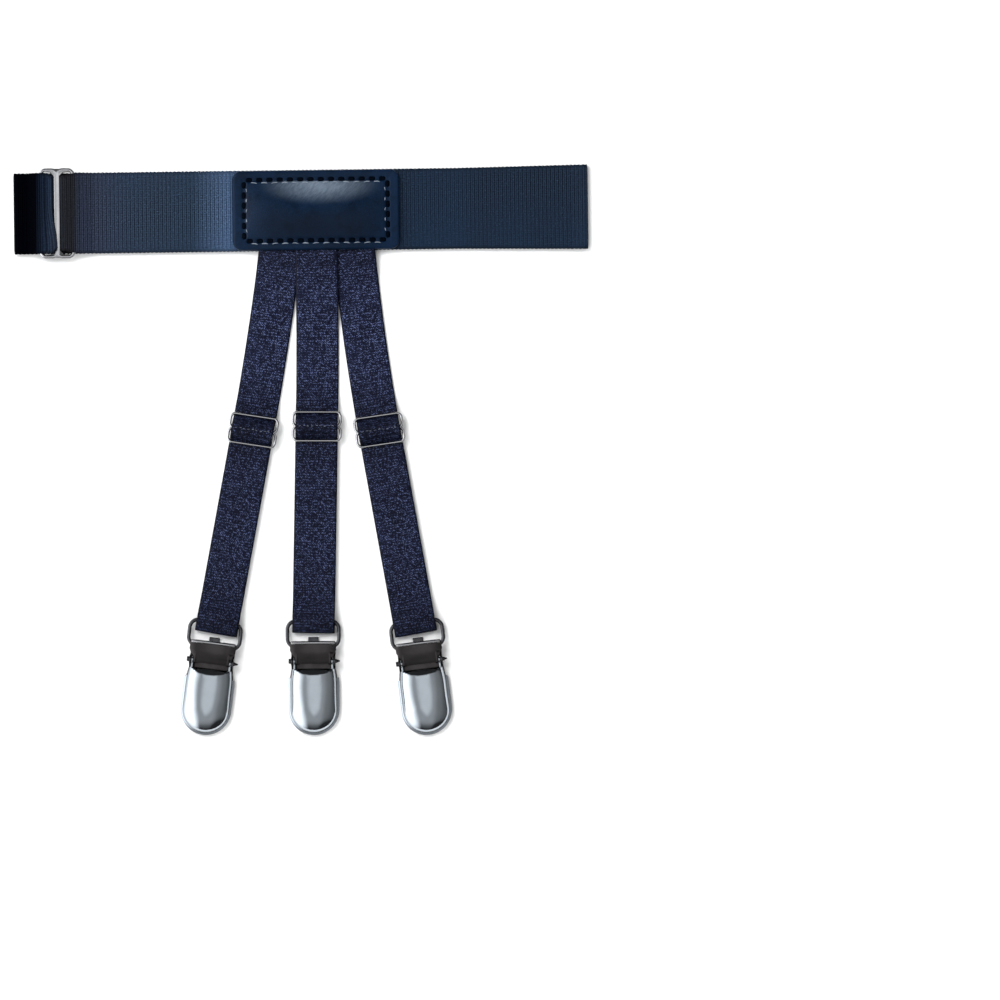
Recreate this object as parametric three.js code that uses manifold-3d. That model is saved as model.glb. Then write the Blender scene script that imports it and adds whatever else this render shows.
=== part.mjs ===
// A shirt stay that lies flat: a thigh band, its slider, a leather patch and three straps with clips.
// Lengths are in millimetres and angles in degrees. X runs along the band, Y from the clips towards
// the band and Z up from the surface that it lies on.
import * as THREE from "three";
import { mergeVertices } from "three/addons/utils/BufferGeometryUtils.js";
import Module from "manifold-3d";

const wasm = await Module();
wasm.setup();

// Clearances
const GAP = 0.3;
const WIRE_JOINT_PLAY = 0.3;

// Thigh band
const BAND_WIDTH = 38;
const BAND_THICK = 1.2;
const BAND_LEFT_REACH = 142;
const BAND_RIGHT_REACH = 127.7;
const BAND_TILT = 0.75;
const BAND_FOLD_RADIUS = 1.3;
const BAND_FOLD_FLARE = 1.6;
const BAND_FLARE_RUN = 60;
const BAND_RISE_RUN = 7;
const GENTLE_BEND = 8;
const LONGEST_STRETCH = 12;

// Band slider
const BAND_SLIDER_FROM_FOLD = 20.5;
const BAND_SLIDER_PLAY = 0.55;
const BAND_SLIDER_WIDTH = 17.1;
const BAND_SLIDER_BAR = 1.7;
const BAND_SLIDER_MIDDLE_BAR = 2.7;
const BAND_SLIDER_THICK = 1.4;
const BAND_SLIDER_NOTCH = 1.2;
const SLIDER_SLOT_CORNER = 1.3;

// Leather patch
const PATCH_LENGTH = 78.3;
const PATCH_INSET = 0.3;
const PATCH_THICK = 1.6;
const PATCH_CORNER = 4.4;
const PATCH_PUFF = 1.3;
const PATCH_BORDER = 4.2;
const PATCH_PUFF_RUN = 5;
const PATCH_STRAP_COVER = 11;
const PATCH_DRAPE_RUN = 24;
const PATCH_SIDE_CLEAR = 1.5;

// Clip straps
const STRAP_WIDTH = 20;
const STRAP_THICK = 1;
const STRAP_SPREAD = 15.5;
const STRAP_DROP_RUN = 14;
const STRAP_EDGE_RUN = 2;
const STRAP_SETTLED_RUN = 11;
const STRAP_LANDING_RUN = 10;
const STRAP_DOUBLED = 97.4;
const STRAP_LIFT_RUN = 9;
const STRAP_WRAP_SHARE = 0.88;

// Strap sliders
const STRAP_SLIDER_PLAY = 0.5;
const STRAP_SLIDER_WIDTH = 14.8;
const STRAP_SLIDER_WIRE = 1.25;
const STRAP_SLIDER_NOTCH = 0.9;

// Wire loops
const LOOP_WIRE = 1.8;
const LOOP_PLAY = 1.2;
const LOOP_LENGTH = 14;
const LOOP_CORNER = 5;
const LOOP_SLACK = 5.9;

// Clips: the jaw is the domed cover, which opens with the short lever over the same pivot
const CLIP_SHEET = 0.8;
const CLIP_LENGTH = 41.4;
const CLIP_WIDTH = 24;
const CLIP_PIVOT_DROP = 6.6;
const CLIP_PIVOT_HEIGHT = 4.2;
const CLIP_PIN_RADIUS = 0.7;
const CLIP_PIN_HEAD = 1.2;
const CLIP_PIN_POINT = 2.2;
const CLIP_EAR_RADIUS = 2.2;
const CLIP_CHEEK_RADIUS = 1.7;
const CLIP_TAB_WIDTH = 4.9;
const CLIP_TAB_REACH = 4.6;
const CLIP_TOOTH = 1.2;
const CLIP_TOOTH_ROW = 14;
const CLIP_TEETH = 7;
const LEVER_NECK = 16.4;
const LEVER_THICK = 0.7;
const LEVER_REACH = 9.4;
const LEVER_HEEL = 1;
const LEVER_ROLL = 0.8;
const LEVER_STAND = 2;
const COVER_SHOULDER = 5;
const COVER_HEIGHT = 6.3;
const COVER_RIM = 1.1;
const COVER_TOP_ROLL = 3.2;
const COVER_PIVOT_REACH = 3.7;

// The three straps. lean is how far each turns outwards, away from the middle one, at the patch, at
// its lower half and at its clip and slider; side is -1, 0 or 1 across the patch.
const STRAPS = [
  { name: "left", side: -1, layer: 0, toSlider: 96.6, topLean: 6.6, lean: 10.3, clipLean: 7, sliderLean: 8.5 },
  { name: "middle", side: 0, layer: 1, toSlider: 93.7, topLean: -1.3, lean: 0.9, clipLean: -0.5, sliderLean: 0 },
  { name: "right", side: 1, layer: 0, toSlider: 96.6, topLean: 6.6, lean: 10.3, clipLean: 7, sliderLean: 8.3 },
];

// Sizes that follow from what passes through
const bandSliderLength = BAND_WIDTH + 2 * (BAND_SLIDER_BAR + BAND_SLIDER_PLAY);
const bandSliderX = BAND_SLIDER_FROM_FOLD - BAND_LEFT_REACH;
const patchWidth = BAND_WIDTH - 2 * PATCH_INSET;
const strapSliderLength = STRAP_WIDTH + 2 * (STRAP_SLIDER_WIRE + STRAP_SLIDER_PLAY);
const loopWidth = STRAP_WIDTH + 2 * (LOOP_WIRE + LOOP_PLAY);
const leverWidth = loopWidth - 2 * (LOOP_WIRE + GAP);

// Heights above the surface, from the layers that lie on each other
const bandBack = BAND_THICK / 2;
const bandFront = bandBack + BAND_THICK + GAP;
const bandTop = bandFront + BAND_THICK / 2;
const sliderFloor = bandTop + GAP;
const overSlider = sliderFloor + BAND_SLIDER_THICK + GAP + BAND_THICK / 2;
const strapBack = STRAP_THICK / 2;
const strapFront = strapBack + STRAP_THICK + GAP;
const strapSliderMid = strapFront + STRAP_THICK / 2 + GAP + STRAP_SLIDER_WIRE / 2;
const loopMid = STRAP_THICK + GAP + LOOP_WIRE / 2;
const overLoop = loopMid + LOOP_WIRE / 2 + GAP + STRAP_THICK / 2;
const patchFloor = bandTop + GAP;
const sewnLevel = (layer) => bandTop + GAP + STRAP_THICK / 2 + layer * (STRAP_THICK + GAP);
const patchLift = 2 * (STRAP_THICK + GAP);

const radians = THREE.MathUtils.degToRad;
const { clamp, lerp, smoothstep } = THREE.MathUtils;

const materials = {
  band: { color: 0x161d2e, roughness: 0.85, metalness: 0 },
  strap: { color: 0x1c2138, roughness: 0.7, metalness: 0 },
  leather: { color: 0x10151f, roughness: 0.4, metalness: 0 },
  nickel: { color: 0xc9ccd1, roughness: 0.25, metalness: 1 },
  gunmetal: { color: 0x8d9096, roughness: 0.2, metalness: 1 },
  chrome: { color: 0xb9bfc7, roughness: 0.12, metalness: 1 },
};

function meshOf(name, geometry, look) {
  const mesh = new THREE.Mesh(geometry, new THREE.MeshStandardMaterial(materials[look]));
  mesh.name = name;
  return mesh;
}

// Boolean joins and cuts
function solidOf(geometry) {
  const bare = geometry.clone();
  bare.deleteAttribute("normal");
  bare.deleteAttribute("uv");
  const merged = mergeVertices(bare, 1e-4);
  const vertProperties = new Float32Array(merged.attributes.position.array);
  const triVerts = new Uint32Array(merged.index.array);
  return new wasm.Manifold(new wasm.Mesh({ numProp: 3, vertProperties, triVerts }));
}

function geometryOf(solid) {
  const mesh = solid.getMesh();
  return new THREE.BufferGeometry()
    .setAttribute("position", new THREE.BufferAttribute(mesh.vertProperties, 3))
    .setIndex(new THREE.BufferAttribute(mesh.triVerts, 1));
}

function joined(...geometries) {
  return geometryOf(geometries.map(solidOf).reduce((whole, piece) => whole.add(piece)));
}

function cut(geometry, ...tools) {
  return geometryOf(tools.map(solidOf).reduce((whole, tool) => whole.subtract(tool), solidOf(geometry)));
}

// Runs: straight stretches with rounded corners in a plane of along and level. A sample has a place,
// the normal on its left and a share of the full width.
function roundedRun(corners, { closed = false, longest = LONGEST_STRETCH } = {}) {
  const last = corners.length - 1;
  const place = ({ along, level }) => new THREE.Vector2(along, level);
  const samples = [];
  const put = (point, heading, width) => {
    const back = samples[samples.length - 1];
    const steps = back ? Math.max(1, Math.ceil(back.point.distanceTo(point) / longest)) : 1;
    for (let i = 1; i < steps; i++) {
      const share = i / steps;
      const between = { point: back.point.clone().lerp(point, share), normal: back.normal.clone() };
      samples.push({ ...between, width: lerp(back.width, width, share) });
    }
    samples.push({ point, normal: new THREE.Vector2(-heading.y, heading.x), width });
  };
  corners.forEach((corner, index) => {
    const here = place(corner);
    const before = corners[index ? index - 1 : last];
    const after = corners[index < last ? index + 1 : 0];
    const arriving = here.clone().sub(place(before));
    const leaving = place(after).sub(here);
    const width = corner.width ?? 1;
    const isEnd = !closed && (index === 0 || index === last);
    if (isEnd) {
      put(here, (index ? arriving : leaving).normalize(), width);
      return;
    }
    const room = Math.min(arriving.length(), leaving.length()) / 2;
    const from = arriving.normalize();
    const turn = Math.atan2(from.cross(leaving), from.dot(leaving));
    if (Math.abs(turn) < 1e-4) {
      put(here, from, width);
      return;
    }
    const reach = Math.min(corner.radius * Math.tan(Math.abs(turn) / 2), room);
    const radius = reach / Math.tan(Math.abs(turn) / 2);
    const side = new THREE.Vector2(-from.y, from.x).multiplyScalar(Math.sign(turn));
    const centre = here.clone().addScaledVector(from, -reach).addScaledVector(side, radius);
    const steps = Math.max(2, Math.ceil(Math.abs(turn) / (Math.PI / 8)));
    for (let i = 0; i <= steps; i++) {
      const turned = (turn * i) / steps;
      const heading = from.clone().rotateAround(new THREE.Vector2(), turned);
      const out = side.clone().rotateAround(new THREE.Vector2(), turned);
      put(centre.clone().addScaledVector(out, -radius), heading, width);
    }
  });
  return samples;
}

// A strip of cloth along an open run: x across, y down the run as a negative length, z its level.
function stripAlong(samples, width, thick) {
  const strip = new THREE.BoxGeometry(1, 1, 1, samples.length - 1, 1, 1);
  const position = strip.attributes.position;
  for (let i = 0; i < position.count; i++) {
    const sample = samples[Math.round((position.getX(i) + 0.5) * (samples.length - 1))];
    const spot = sample.point.clone().addScaledVector(sample.normal, position.getY(i) * thick);
    position.setXYZ(i, -position.getZ(i) * width * sample.width, -spot.x, spot.y);
  }
  return strip;
}

// A ring whose profile of offset and side follows a closed run, in a plane of along and level.
function ringAlong(samples, profile) {
  const radius = 100;
  const points = profile.map(({ offset, side }) => new THREE.Vector2(radius + offset, side));
  const ring = new THREE.LatheGeometry([...points, points[0]], samples.length);
  const position = ring.attributes.position;
  const spot = new THREE.Vector3();
  for (let i = 0; i < position.count; i++) {
    spot.fromBufferAttribute(position, i);
    const turn = Math.atan2(spot.x, spot.z) / (2 * Math.PI);
    const count = samples.length;
    const sample = samples[(Math.round(turn * count) + count) % count];
    const offset = Math.hypot(spot.x, spot.z) - radius;
    const place = sample.point.clone().addScaledVector(sample.normal, -offset);
    position.setXYZ(i, place.x, place.y, spot.y * sample.width);
  }
  return ring;
}

function extruded(shape, depth, bevel = 0, curveSegments = 6) {
  return new THREE.ExtrudeGeometry(shape, {
    depth: depth - 2 * bevel,
    curveSegments,
    bevelEnabled: bevel > 0,
    bevelThickness: bevel,
    bevelSize: bevel,
    bevelOffset: -bevel,
    bevelSegments: 1,
  }).translate(0, 0, bevel);
}

// Turns a shape drawn in y and z, extruded along z, so that it is extruded along x from its start.
function sideways(geometry, start) {
  const across = new THREE.Vector3(1, 0, 0);
  const basis = new THREE.Matrix4().makeBasis(
    new THREE.Vector3(0, 1, 0),
    new THREE.Vector3(0, 0, 1),
    across,
  );
  return geometry.applyMatrix4(basis).translate(start, 0, 0);
}

function barAcross(radius, from, to, endRadius = radius) {
  const bar = new THREE.CylinderGeometry(endRadius, radius, to - from, 10);
  return bar.rotateZ(-Math.PI / 2).translate((from + to) / 2, 0, 0);
}

// Thigh band: one closed loop, over the slider's outer bars and under its middle bar.
function bandRun() {
  const centre = bandSliderX;
  const outerBar = (BAND_SLIDER_WIDTH - BAND_SLIDER_BAR) / 2;
  const dive = BAND_SLIDER_MIDDLE_BAR / 2 + GAP + BAND_THICK / 2;
  const foldTop = bandBack + 2 * BAND_FOLD_RADIUS;
  const hump = lerp(bandFront, overSlider, 0.8);
  const valley = lerp(bandFront, overSlider, 0.72);
  const bend = BAND_THICK * 0.8;
  const flat = BAND_SLIDER_BAR / 2 + BAND_THICK;
  const left = -BAND_LEFT_REACH + BAND_THICK / 2;
  const right = BAND_RIGHT_REACH - BAND_THICK / 2;
  const flared = 1 + BAND_FOLD_FLARE / BAND_WIDTH;
  const leftRise = Math.min(BAND_RISE_RUN, (centre - outerBar - left) * 0.5);
  return roundedRun(
    [
      { along: right, level: bandBack, radius: BAND_FOLD_RADIUS, width: flared },
      { along: right, level: foldTop, radius: BAND_FOLD_RADIUS, width: flared },
      { along: right - BAND_RISE_RUN, level: bandFront, radius: GENTLE_BEND, width: flared },
      { along: right - BAND_FLARE_RUN, level: bandFront, radius: GENTLE_BEND },
      { along: centre + outerBar + flat + BAND_RISE_RUN, level: bandFront, radius: GENTLE_BEND / 2 },
      { along: centre + outerBar + flat, level: overSlider, radius: 2 * BAND_THICK },
      { along: centre + dive, level: overSlider, radius: bend },
      { along: centre + dive, level: bandFront, radius: bend },
      { along: centre - dive, level: bandFront, radius: bend },
      { along: centre - dive, level: hump, radius: bend },
      { along: centre - (dive + outerBar) / 2, level: valley, radius: 2 * bend },
      { along: centre - outerBar + flat * 0.7, level: overSlider, radius: bend },
      { along: centre - outerBar - flat, level: overSlider, radius: 2 * BAND_THICK },
      { along: centre - outerBar - leftRise, level: bandFront, radius: 2 * BAND_THICK },
      { along: left, level: foldTop, radius: BAND_FOLD_RADIUS },
      { along: left, level: bandBack, radius: BAND_FOLD_RADIUS },
      { along: right - BAND_FLARE_RUN, level: bandBack, radius: GENTLE_BEND },
    ],
    { closed: true, longest: BAND_FLARE_RUN / 2 },
  );
}

function thighBand() {
  const half = { offset: BAND_THICK / 2, side: BAND_WIDTH / 2 };
  const profile = [
    { offset: -half.offset, side: -half.side },
    { offset: half.offset, side: -half.side },
    { offset: half.offset, side: half.side },
    { offset: -half.offset, side: half.side },
  ];
  return ringAlong(bandRun(), profile).rotateX(Math.PI / 2);
}

// A slider with two slots, its bars along x and its outline pinched at the middle bar's ends.
function slider({ length, width, bar, middleBar, thick, notch }) {
  const x = length / 2;
  const y = width / 2;
  const round = bar + SLIDER_SLOT_CORNER;
  const pinch = middleBar * 0.6;
  const corner = (shape, atX, atY, size, from) => shape.absarc(atX, atY, size, from, from + Math.PI / 2, false);
  const lobe = (sign) => {
    const shape = new THREE.Shape();
    const top = sign > 0 ? y : pinch;
    const low = sign > 0 ? -pinch : -y;
    corner(shape, x - round, top - round, round, 0);
    corner(shape, round - x, top - round, round, Math.PI / 2);
    corner(shape, round - x, low + round, round, Math.PI);
    corner(shape, x - round, low + round, round, 1.5 * Math.PI);
    return shape;
  };
  const slot = (sign) => {
    const shape = new THREE.Shape();
    const inner = middleBar / 2;
    const outer = y - bar;
    const size = Math.min(SLIDER_SLOT_CORNER, (outer - inner) / 2.2);
    const top = sign > 0 ? outer : -inner;
    const low = sign > 0 ? inner : -outer;
    corner(shape, x - bar - size, top - size, size, 0);
    corner(shape, bar + size - x, top - size, size, Math.PI / 2);
    corner(shape, bar + size - x, low + size, size, Math.PI);
    corner(shape, x - bar - size, low + size, size, 1.5 * Math.PI);
    return extruded(shape, thick * 3, 0, 3).translate(0, 0, -thick);
  };
  const bevel = Math.min(bar, thick) * 0.25;
  const notchTool = (sign) =>
    new THREE.CylinderGeometry(pinch, pinch, thick * 3, 8)
      .rotateX(Math.PI / 2)
      .translate(sign * (x + pinch - notch), 0, 0);
  const plate = joined(extruded(lobe(1), thick, bevel, 3), extruded(lobe(-1), thick, bevel, 3));
  return cut(plate, slot(1), slot(-1), notchTool(1), notchTool(-1));
}

function bandSlider() {
  return slider({
    length: bandSliderLength,
    width: BAND_SLIDER_WIDTH,
    bar: BAND_SLIDER_BAR,
    middleBar: BAND_SLIDER_MIDDLE_BAR,
    thick: BAND_SLIDER_THICK,
    notch: BAND_SLIDER_NOTCH,
  })
    .rotateZ(Math.PI / 2)
    .translate(bandSliderX, 0, sliderFloor);
}

function strapSlider() {
  return slider({
    length: strapSliderLength,
    width: STRAP_SLIDER_WIDTH,
    bar: STRAP_SLIDER_WIRE,
    middleBar: STRAP_SLIDER_WIRE,
    thick: STRAP_SLIDER_WIRE,
    notch: STRAP_SLIDER_NOTCH,
  }).translate(0, 0, strapSliderMid - STRAP_SLIDER_WIRE / 2);
}

// Leather patch: a padded panel inside a flat border, draped over the strap ends below it.
function leatherPatch() {
  const patch = new THREE.BoxGeometry(2, 2, 1, 20, 12, 1);
  const position = patch.attributes.position;
  const halfX = PATCH_LENGTH / 2;
  const halfY = patchWidth / 2;
  const fullTo = STRAP_WIDTH / 2 + GAP;
  const halfAt = STRAP_SPREAD + STRAP_WIDTH / 2 + PATCH_SIDE_CLEAR;
  const coveredTo = PATCH_STRAP_COVER - halfY;
  for (let i = 0; i < position.count; i++) {
    const y = halfY * Math.sin((position.getY(i) * Math.PI) / 2);
    const inCorner = clamp(Math.abs(y) - (halfY - PATCH_CORNER), 0, PATCH_CORNER);
    const rowHalf = halfX - PATCH_CORNER + Math.sqrt(PATCH_CORNER ** 2 - inCorner ** 2);
    const x = rowHalf * Math.sin((position.getX(i) * Math.PI) / 2);
    const lowered = smoothstep(Math.abs(x), fullTo, 2 * halfAt - fullTo);
    const behind = smoothstep(y - coveredTo, GAP, PATCH_DRAPE_RUN);
    const lift = patchLift * (1 - lowered) * (1 - behind);
    const inside = Math.min(halfX - Math.abs(x), halfY - Math.abs(y));
    const puff = PATCH_PUFF * smoothstep(inside, PATCH_BORDER, PATCH_BORDER + PATCH_PUFF_RUN);
    const isTop = position.getZ(i) > 0;
    position.setXYZ(i, x, y, patchFloor + lift + (isTop ? PATCH_THICK + puff : 0));
  }
  return patch;
}

// Straps: where each lies, seen from above
function strapSpot(strap, along) {
  const sign = strap.side || 1;
  const start = radians(strap.topLean);
  const end = radians(strap.lean);
  const bent = Math.min(along, strap.toSlider);
  const turn = start + ((end - start) * bent) / strap.toSlider;
  const rate = (end - start) / strap.toSlider;
  const out = (Math.cos(start) - Math.cos(turn)) / rate + Math.sin(end) * (along - bent);
  const down = (Math.sin(turn) - Math.sin(start)) / rate + Math.cos(end) * (along - bent);
  const side = strap.side ? out * sign : -out;
  const heading = strap.side ? turn * sign : -turn;
  const top = PATCH_STRAP_COVER - patchWidth / 2;
  return { x: strap.side * STRAP_SPREAD + side, y: top - down, heading };
}

function strapRun(strap) {
  const sewn = sewnLevel(strap.layer);
  const settled = strapBack + strap.layer * (STRAP_THICK + GAP);
  const at = strap.toSlider;
  const outerBar = (STRAP_SLIDER_WIDTH - STRAP_SLIDER_WIRE) / 2;
  const wrap = STRAP_SLIDER_WIRE * Math.SQRT1_2 + GAP + STRAP_THICK / 2;
  const crown = strapSliderMid + wrap + STRAP_THICK + GAP / 2;
  const bend = 1.5 * STRAP_THICK;
  const edge = PATCH_STRAP_COVER + STRAP_EDGE_RUN;
  const dropped = edge + STRAP_DROP_RUN;
  const landed = dropped + STRAP_SETTLED_RUN + STRAP_LANDING_RUN;
  const fold = at + STRAP_DOUBLED - STRAP_THICK / 2;
  const loopTop = fold - LOOP_SLACK;
  const pinched = STRAP_WRAP_SHARE;
  return roundedRun([
    { along: 0, level: sewn },
    { along: edge, level: sewn, radius: GENTLE_BEND },
    { along: dropped, level: settled, radius: GENTLE_BEND },
    { along: dropped + STRAP_SETTLED_RUN, level: settled, radius: GENTLE_BEND },
    { along: landed, level: strapBack, radius: GENTLE_BEND },
    { along: at - outerBar - STRAP_LIFT_RUN, level: strapBack, radius: GENTLE_BEND },
    { along: at - outerBar - STRAP_THICK, level: strapFront, radius: bend },
    { along: at - outerBar + STRAP_THICK, level: strapFront, radius: bend },
    { along: at - wrap, level: crown, radius: bend },
    { along: at + wrap, level: crown, radius: bend },
    { along: at + outerBar - STRAP_THICK, level: strapFront, radius: bend },
    { along: at + outerBar + STRAP_THICK, level: strapFront, radius: bend },
    { along: loopTop - LOOP_WIRE - STRAP_LIFT_RUN, level: strapFront, radius: GENTLE_BEND },
    { along: loopTop - LOOP_WIRE, level: overLoop, radius: GENTLE_BEND / 2 },
    { along: fold, level: overLoop, radius: bend * 2 },
    { along: fold, level: strapBack, radius: bend * 2 },
    { along: at + 3 * wrap, level: strapBack, radius: bend, width: pinched },
    { along: at + 0.75 * wrap, level: strapSliderMid - wrap, radius: bend, width: pinched },
    { along: at - wrap, level: strapSliderMid - wrap, radius: wrap, width: pinched },
    { along: at - wrap, level: strapSliderMid + wrap, radius: wrap, width: pinched },
    { along: at + wrap, level: strapSliderMid + wrap, radius: wrap, width: pinched },
    { along: at + wrap, level: strapSliderMid, width: pinched },
  ]);
}

function clipStrap(strap) {
  const strip = stripAlong(strapRun(strap), STRAP_WIDTH, STRAP_THICK);
  const position = strip.attributes.position;
  for (let i = 0; i < position.count; i++) {
    const spot = strapSpot(strap, -position.getY(i));
    const across = position.getX(i);
    const x = spot.x + across * Math.cos(spot.heading);
    const y = spot.y + across * Math.sin(spot.heading);
    position.setXYZ(i, x, y, position.getZ(i));
  }
  return strip;
}

// Wire loop: its lower bar runs through the origin of the clip's frame.
function wireLoop() {
  const x = (loopWidth - LOOP_WIRE) / 2;
  const top = LOOP_LENGTH - LOOP_WIRE;
  const corners = [
    { along: x, level: 0, radius: LOOP_CORNER * 0.6 },
    { along: x, level: top, radius: LOOP_CORNER },
    { along: -x, level: top, radius: LOOP_CORNER },
    { along: -x, level: 0, radius: LOOP_CORNER * 0.6 },
  ];
  const sides = 8;
  const profile = Array.from({ length: sides }, (_, i) => {
    const turn = (2 * Math.PI * i) / sides;
    return { offset: (Math.cos(turn) * LOOP_WIRE) / 2, side: (Math.sin(turn) * LOOP_WIRE) / 2 };
  });
  return ringAlong(roundedRun(corners, { closed: true, longest: loopWidth }), profile).translate(0, 0, loopMid);
}

// The clip's outline at a distance below the loop's lower bar
const tipRadius = CLIP_WIDTH / 2;
const tipCentre = CLIP_LENGTH - tipRadius;
const neckHalf = LEVER_NECK / 2 + GAP + CLIP_SHEET;
const earInner = neckHalf + GAP;
const earOuter = earInner + CLIP_SHEET;
const coverTop = CLIP_PIVOT_DROP + COVER_PIVOT_REACH;

function pinHole(depth = leverWidth) {
  const hole = barAcross(CLIP_PIN_RADIUS + WIRE_JOINT_PLAY, -depth, depth);
  return hole.translate(0, -CLIP_PIVOT_DROP, CLIP_PIVOT_HEIGHT);
}

function clipBase() {
  const inset = CLIP_SHEET;
  const half = tipRadius - inset;
  const shoulder = coverTop + COVER_SHOULDER;
  const outline = new THREE.Shape();
  outline.moveTo(earOuter, 0);
  outline.lineTo(-earOuter, 0);
  outline.lineTo(-earOuter, -coverTop);
  outline.lineTo(-half, -shoulder);
  outline.absarc(0, -tipCentre, half, Math.PI, 2 * Math.PI, false);
  outline.lineTo(half, -shoulder);
  outline.lineTo(earOuter, -coverTop);
  const plate = extruded(outline, CLIP_SHEET, 0, 12);

  const earShape = new THREE.Shape();
  earShape.moveTo(CLIP_PIVOT_DROP / 2 - CLIP_PIVOT_DROP, CLIP_SHEET / 2);
  earShape.lineTo(CLIP_EAR_RADIUS - CLIP_PIVOT_DROP, CLIP_PIVOT_HEIGHT);
  earShape.absarc(-CLIP_PIVOT_DROP, CLIP_PIVOT_HEIGHT, CLIP_EAR_RADIUS, 0, Math.PI, false);
  earShape.lineTo(-coverTop, CLIP_SHEET / 2);
  const ears = [earInner, -earOuter].map((start) => sideways(extruded(earShape, CLIP_SHEET), start));

  const rollInner = LOOP_WIRE / 2 + WIRE_JOINT_PLAY;
  const rollOuter = rollInner + CLIP_SHEET;
  const rollHalf = loopWidth / 2 - LOOP_WIRE - LOOP_CORNER * 0.6;
  const rollShape = new THREE.Shape().absarc(0, loopMid, rollOuter, 0, 2 * Math.PI, false);
  rollShape.holes.push(new THREE.Path().absarc(0, loopMid, rollInner, 0, 2 * Math.PI, false));
  const roll = sideways(extruded(rollShape, 2 * rollHalf, 0, 8), -rollHalf);
  const bore = barAcross(rollInner, -loopWidth, loopWidth).translate(0, 0, loopMid);

  const tab = new THREE.BoxGeometry(CLIP_TAB_WIDTH, 2 * CLIP_TAB_REACH, CLIP_SHEET);
  tab.translate(0, 0, CLIP_SHEET / 2);

  const pinEnd = earOuter + CLIP_PIN_HEAD;
  const pin = barAcross(CLIP_PIN_RADIUS, -earOuter, earOuter);
  const head = barAcross(CLIP_PIN_HEAD, -pinEnd, GAP - earOuter);
  const point = barAcross(CLIP_PIN_HEAD, earOuter - GAP, earOuter + CLIP_PIN_POINT, 0.2);
  const pivot = [pin, head, point].map((bar) => bar.translate(0, -CLIP_PIVOT_DROP, CLIP_PIVOT_HEIGHT));

  const toothRow = tipCentre + tipRadius * 0.6;
  const ridge = new THREE.BoxGeometry(CLIP_TOOTH_ROW, CLIP_TOOTH, 2 * CLIP_SHEET);
  ridge.translate(0, -toothRow, CLIP_SHEET);
  const teeth = Array.from({ length: CLIP_TEETH }, (_, i) => {
    const pitch = CLIP_TOOTH_ROW / CLIP_TEETH;
    const tooth = new THREE.ConeGeometry(CLIP_TOOTH * 0.7, CLIP_TOOTH, 4).rotateX(Math.PI / 2);
    const x = (i + 0.5) * pitch - CLIP_TOOTH_ROW / 2;
    return tooth.translate(x, -toothRow, 2 * CLIP_SHEET + CLIP_TOOTH * 0.4);
  });
  return cut(joined(plate, ...ears, roll, tab, ...pivot, ridge, ...teeth), bore);
}

function clipLever() {
  const top = LEVER_REACH - CLIP_PIVOT_DROP;
  const wide = leverWidth / 2;
  const neck = LEVER_NECK / 2;
  const cheekTop = CLIP_CHEEK_RADIUS + GAP - CLIP_PIVOT_DROP;
  const outline = new THREE.Shape();
  outline.moveTo(wide - LEVER_ROLL, top);
  outline.lineTo(LEVER_ROLL - wide, top);
  outline.lineTo(-wide, top - LEVER_ROLL);
  outline.lineTo(-wide, top - LEVER_REACH * 0.3);
  outline.lineTo(-lerp(neck, wide, 0.35), cheekTop + GAP);
  outline.lineTo(-neck, cheekTop);
  outline.lineTo(-neck, -CLIP_PIVOT_DROP - LEVER_HEEL);
  outline.lineTo(neck, -CLIP_PIVOT_DROP - LEVER_HEEL);
  outline.lineTo(neck, cheekTop);
  outline.lineTo(lerp(neck, wide, 0.35), cheekTop + GAP);
  outline.lineTo(wide, top - LEVER_REACH * 0.3);
  outline.lineTo(wide, top - LEVER_ROLL);
  const under = CLIP_PIVOT_HEIGHT + LEVER_STAND;
  const plate = extruded(outline, LEVER_THICK).translate(0, 0, under);
  const roll = barAcross(LEVER_ROLL, LEVER_ROLL - wide, wide - LEVER_ROLL).translate(0, top - LEVER_ROLL, under + LEVER_THICK / 4);

  const cheekShape = new THREE.Shape();
  cheekShape.absarc(0, 0, CLIP_CHEEK_RADIUS, Math.PI, 2 * Math.PI, false);
  cheekShape.lineTo(LEVER_REACH * 0.55, LEVER_STAND + LEVER_THICK / 2);
  cheekShape.lineTo(-LEVER_HEEL, LEVER_STAND + LEVER_THICK / 2);
  const cheeks = [neck - CLIP_SHEET, -neck].map((start) =>
    sideways(extruded(cheekShape, CLIP_SHEET), start).translate(0, -CLIP_PIVOT_DROP, CLIP_PIVOT_HEIGHT),
  );
  const window = new THREE.BoxGeometry(LEVER_REACH * 0.15, LEVER_REACH * 0.28, LEVER_THICK * 3);
  window.translate(neck - CLIP_SHEET, top - LEVER_REACH * 0.52, under + LEVER_THICK / 2);
  return cut(joined(plate, roll, ...cheeks), pinHole(), window);
}

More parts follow.
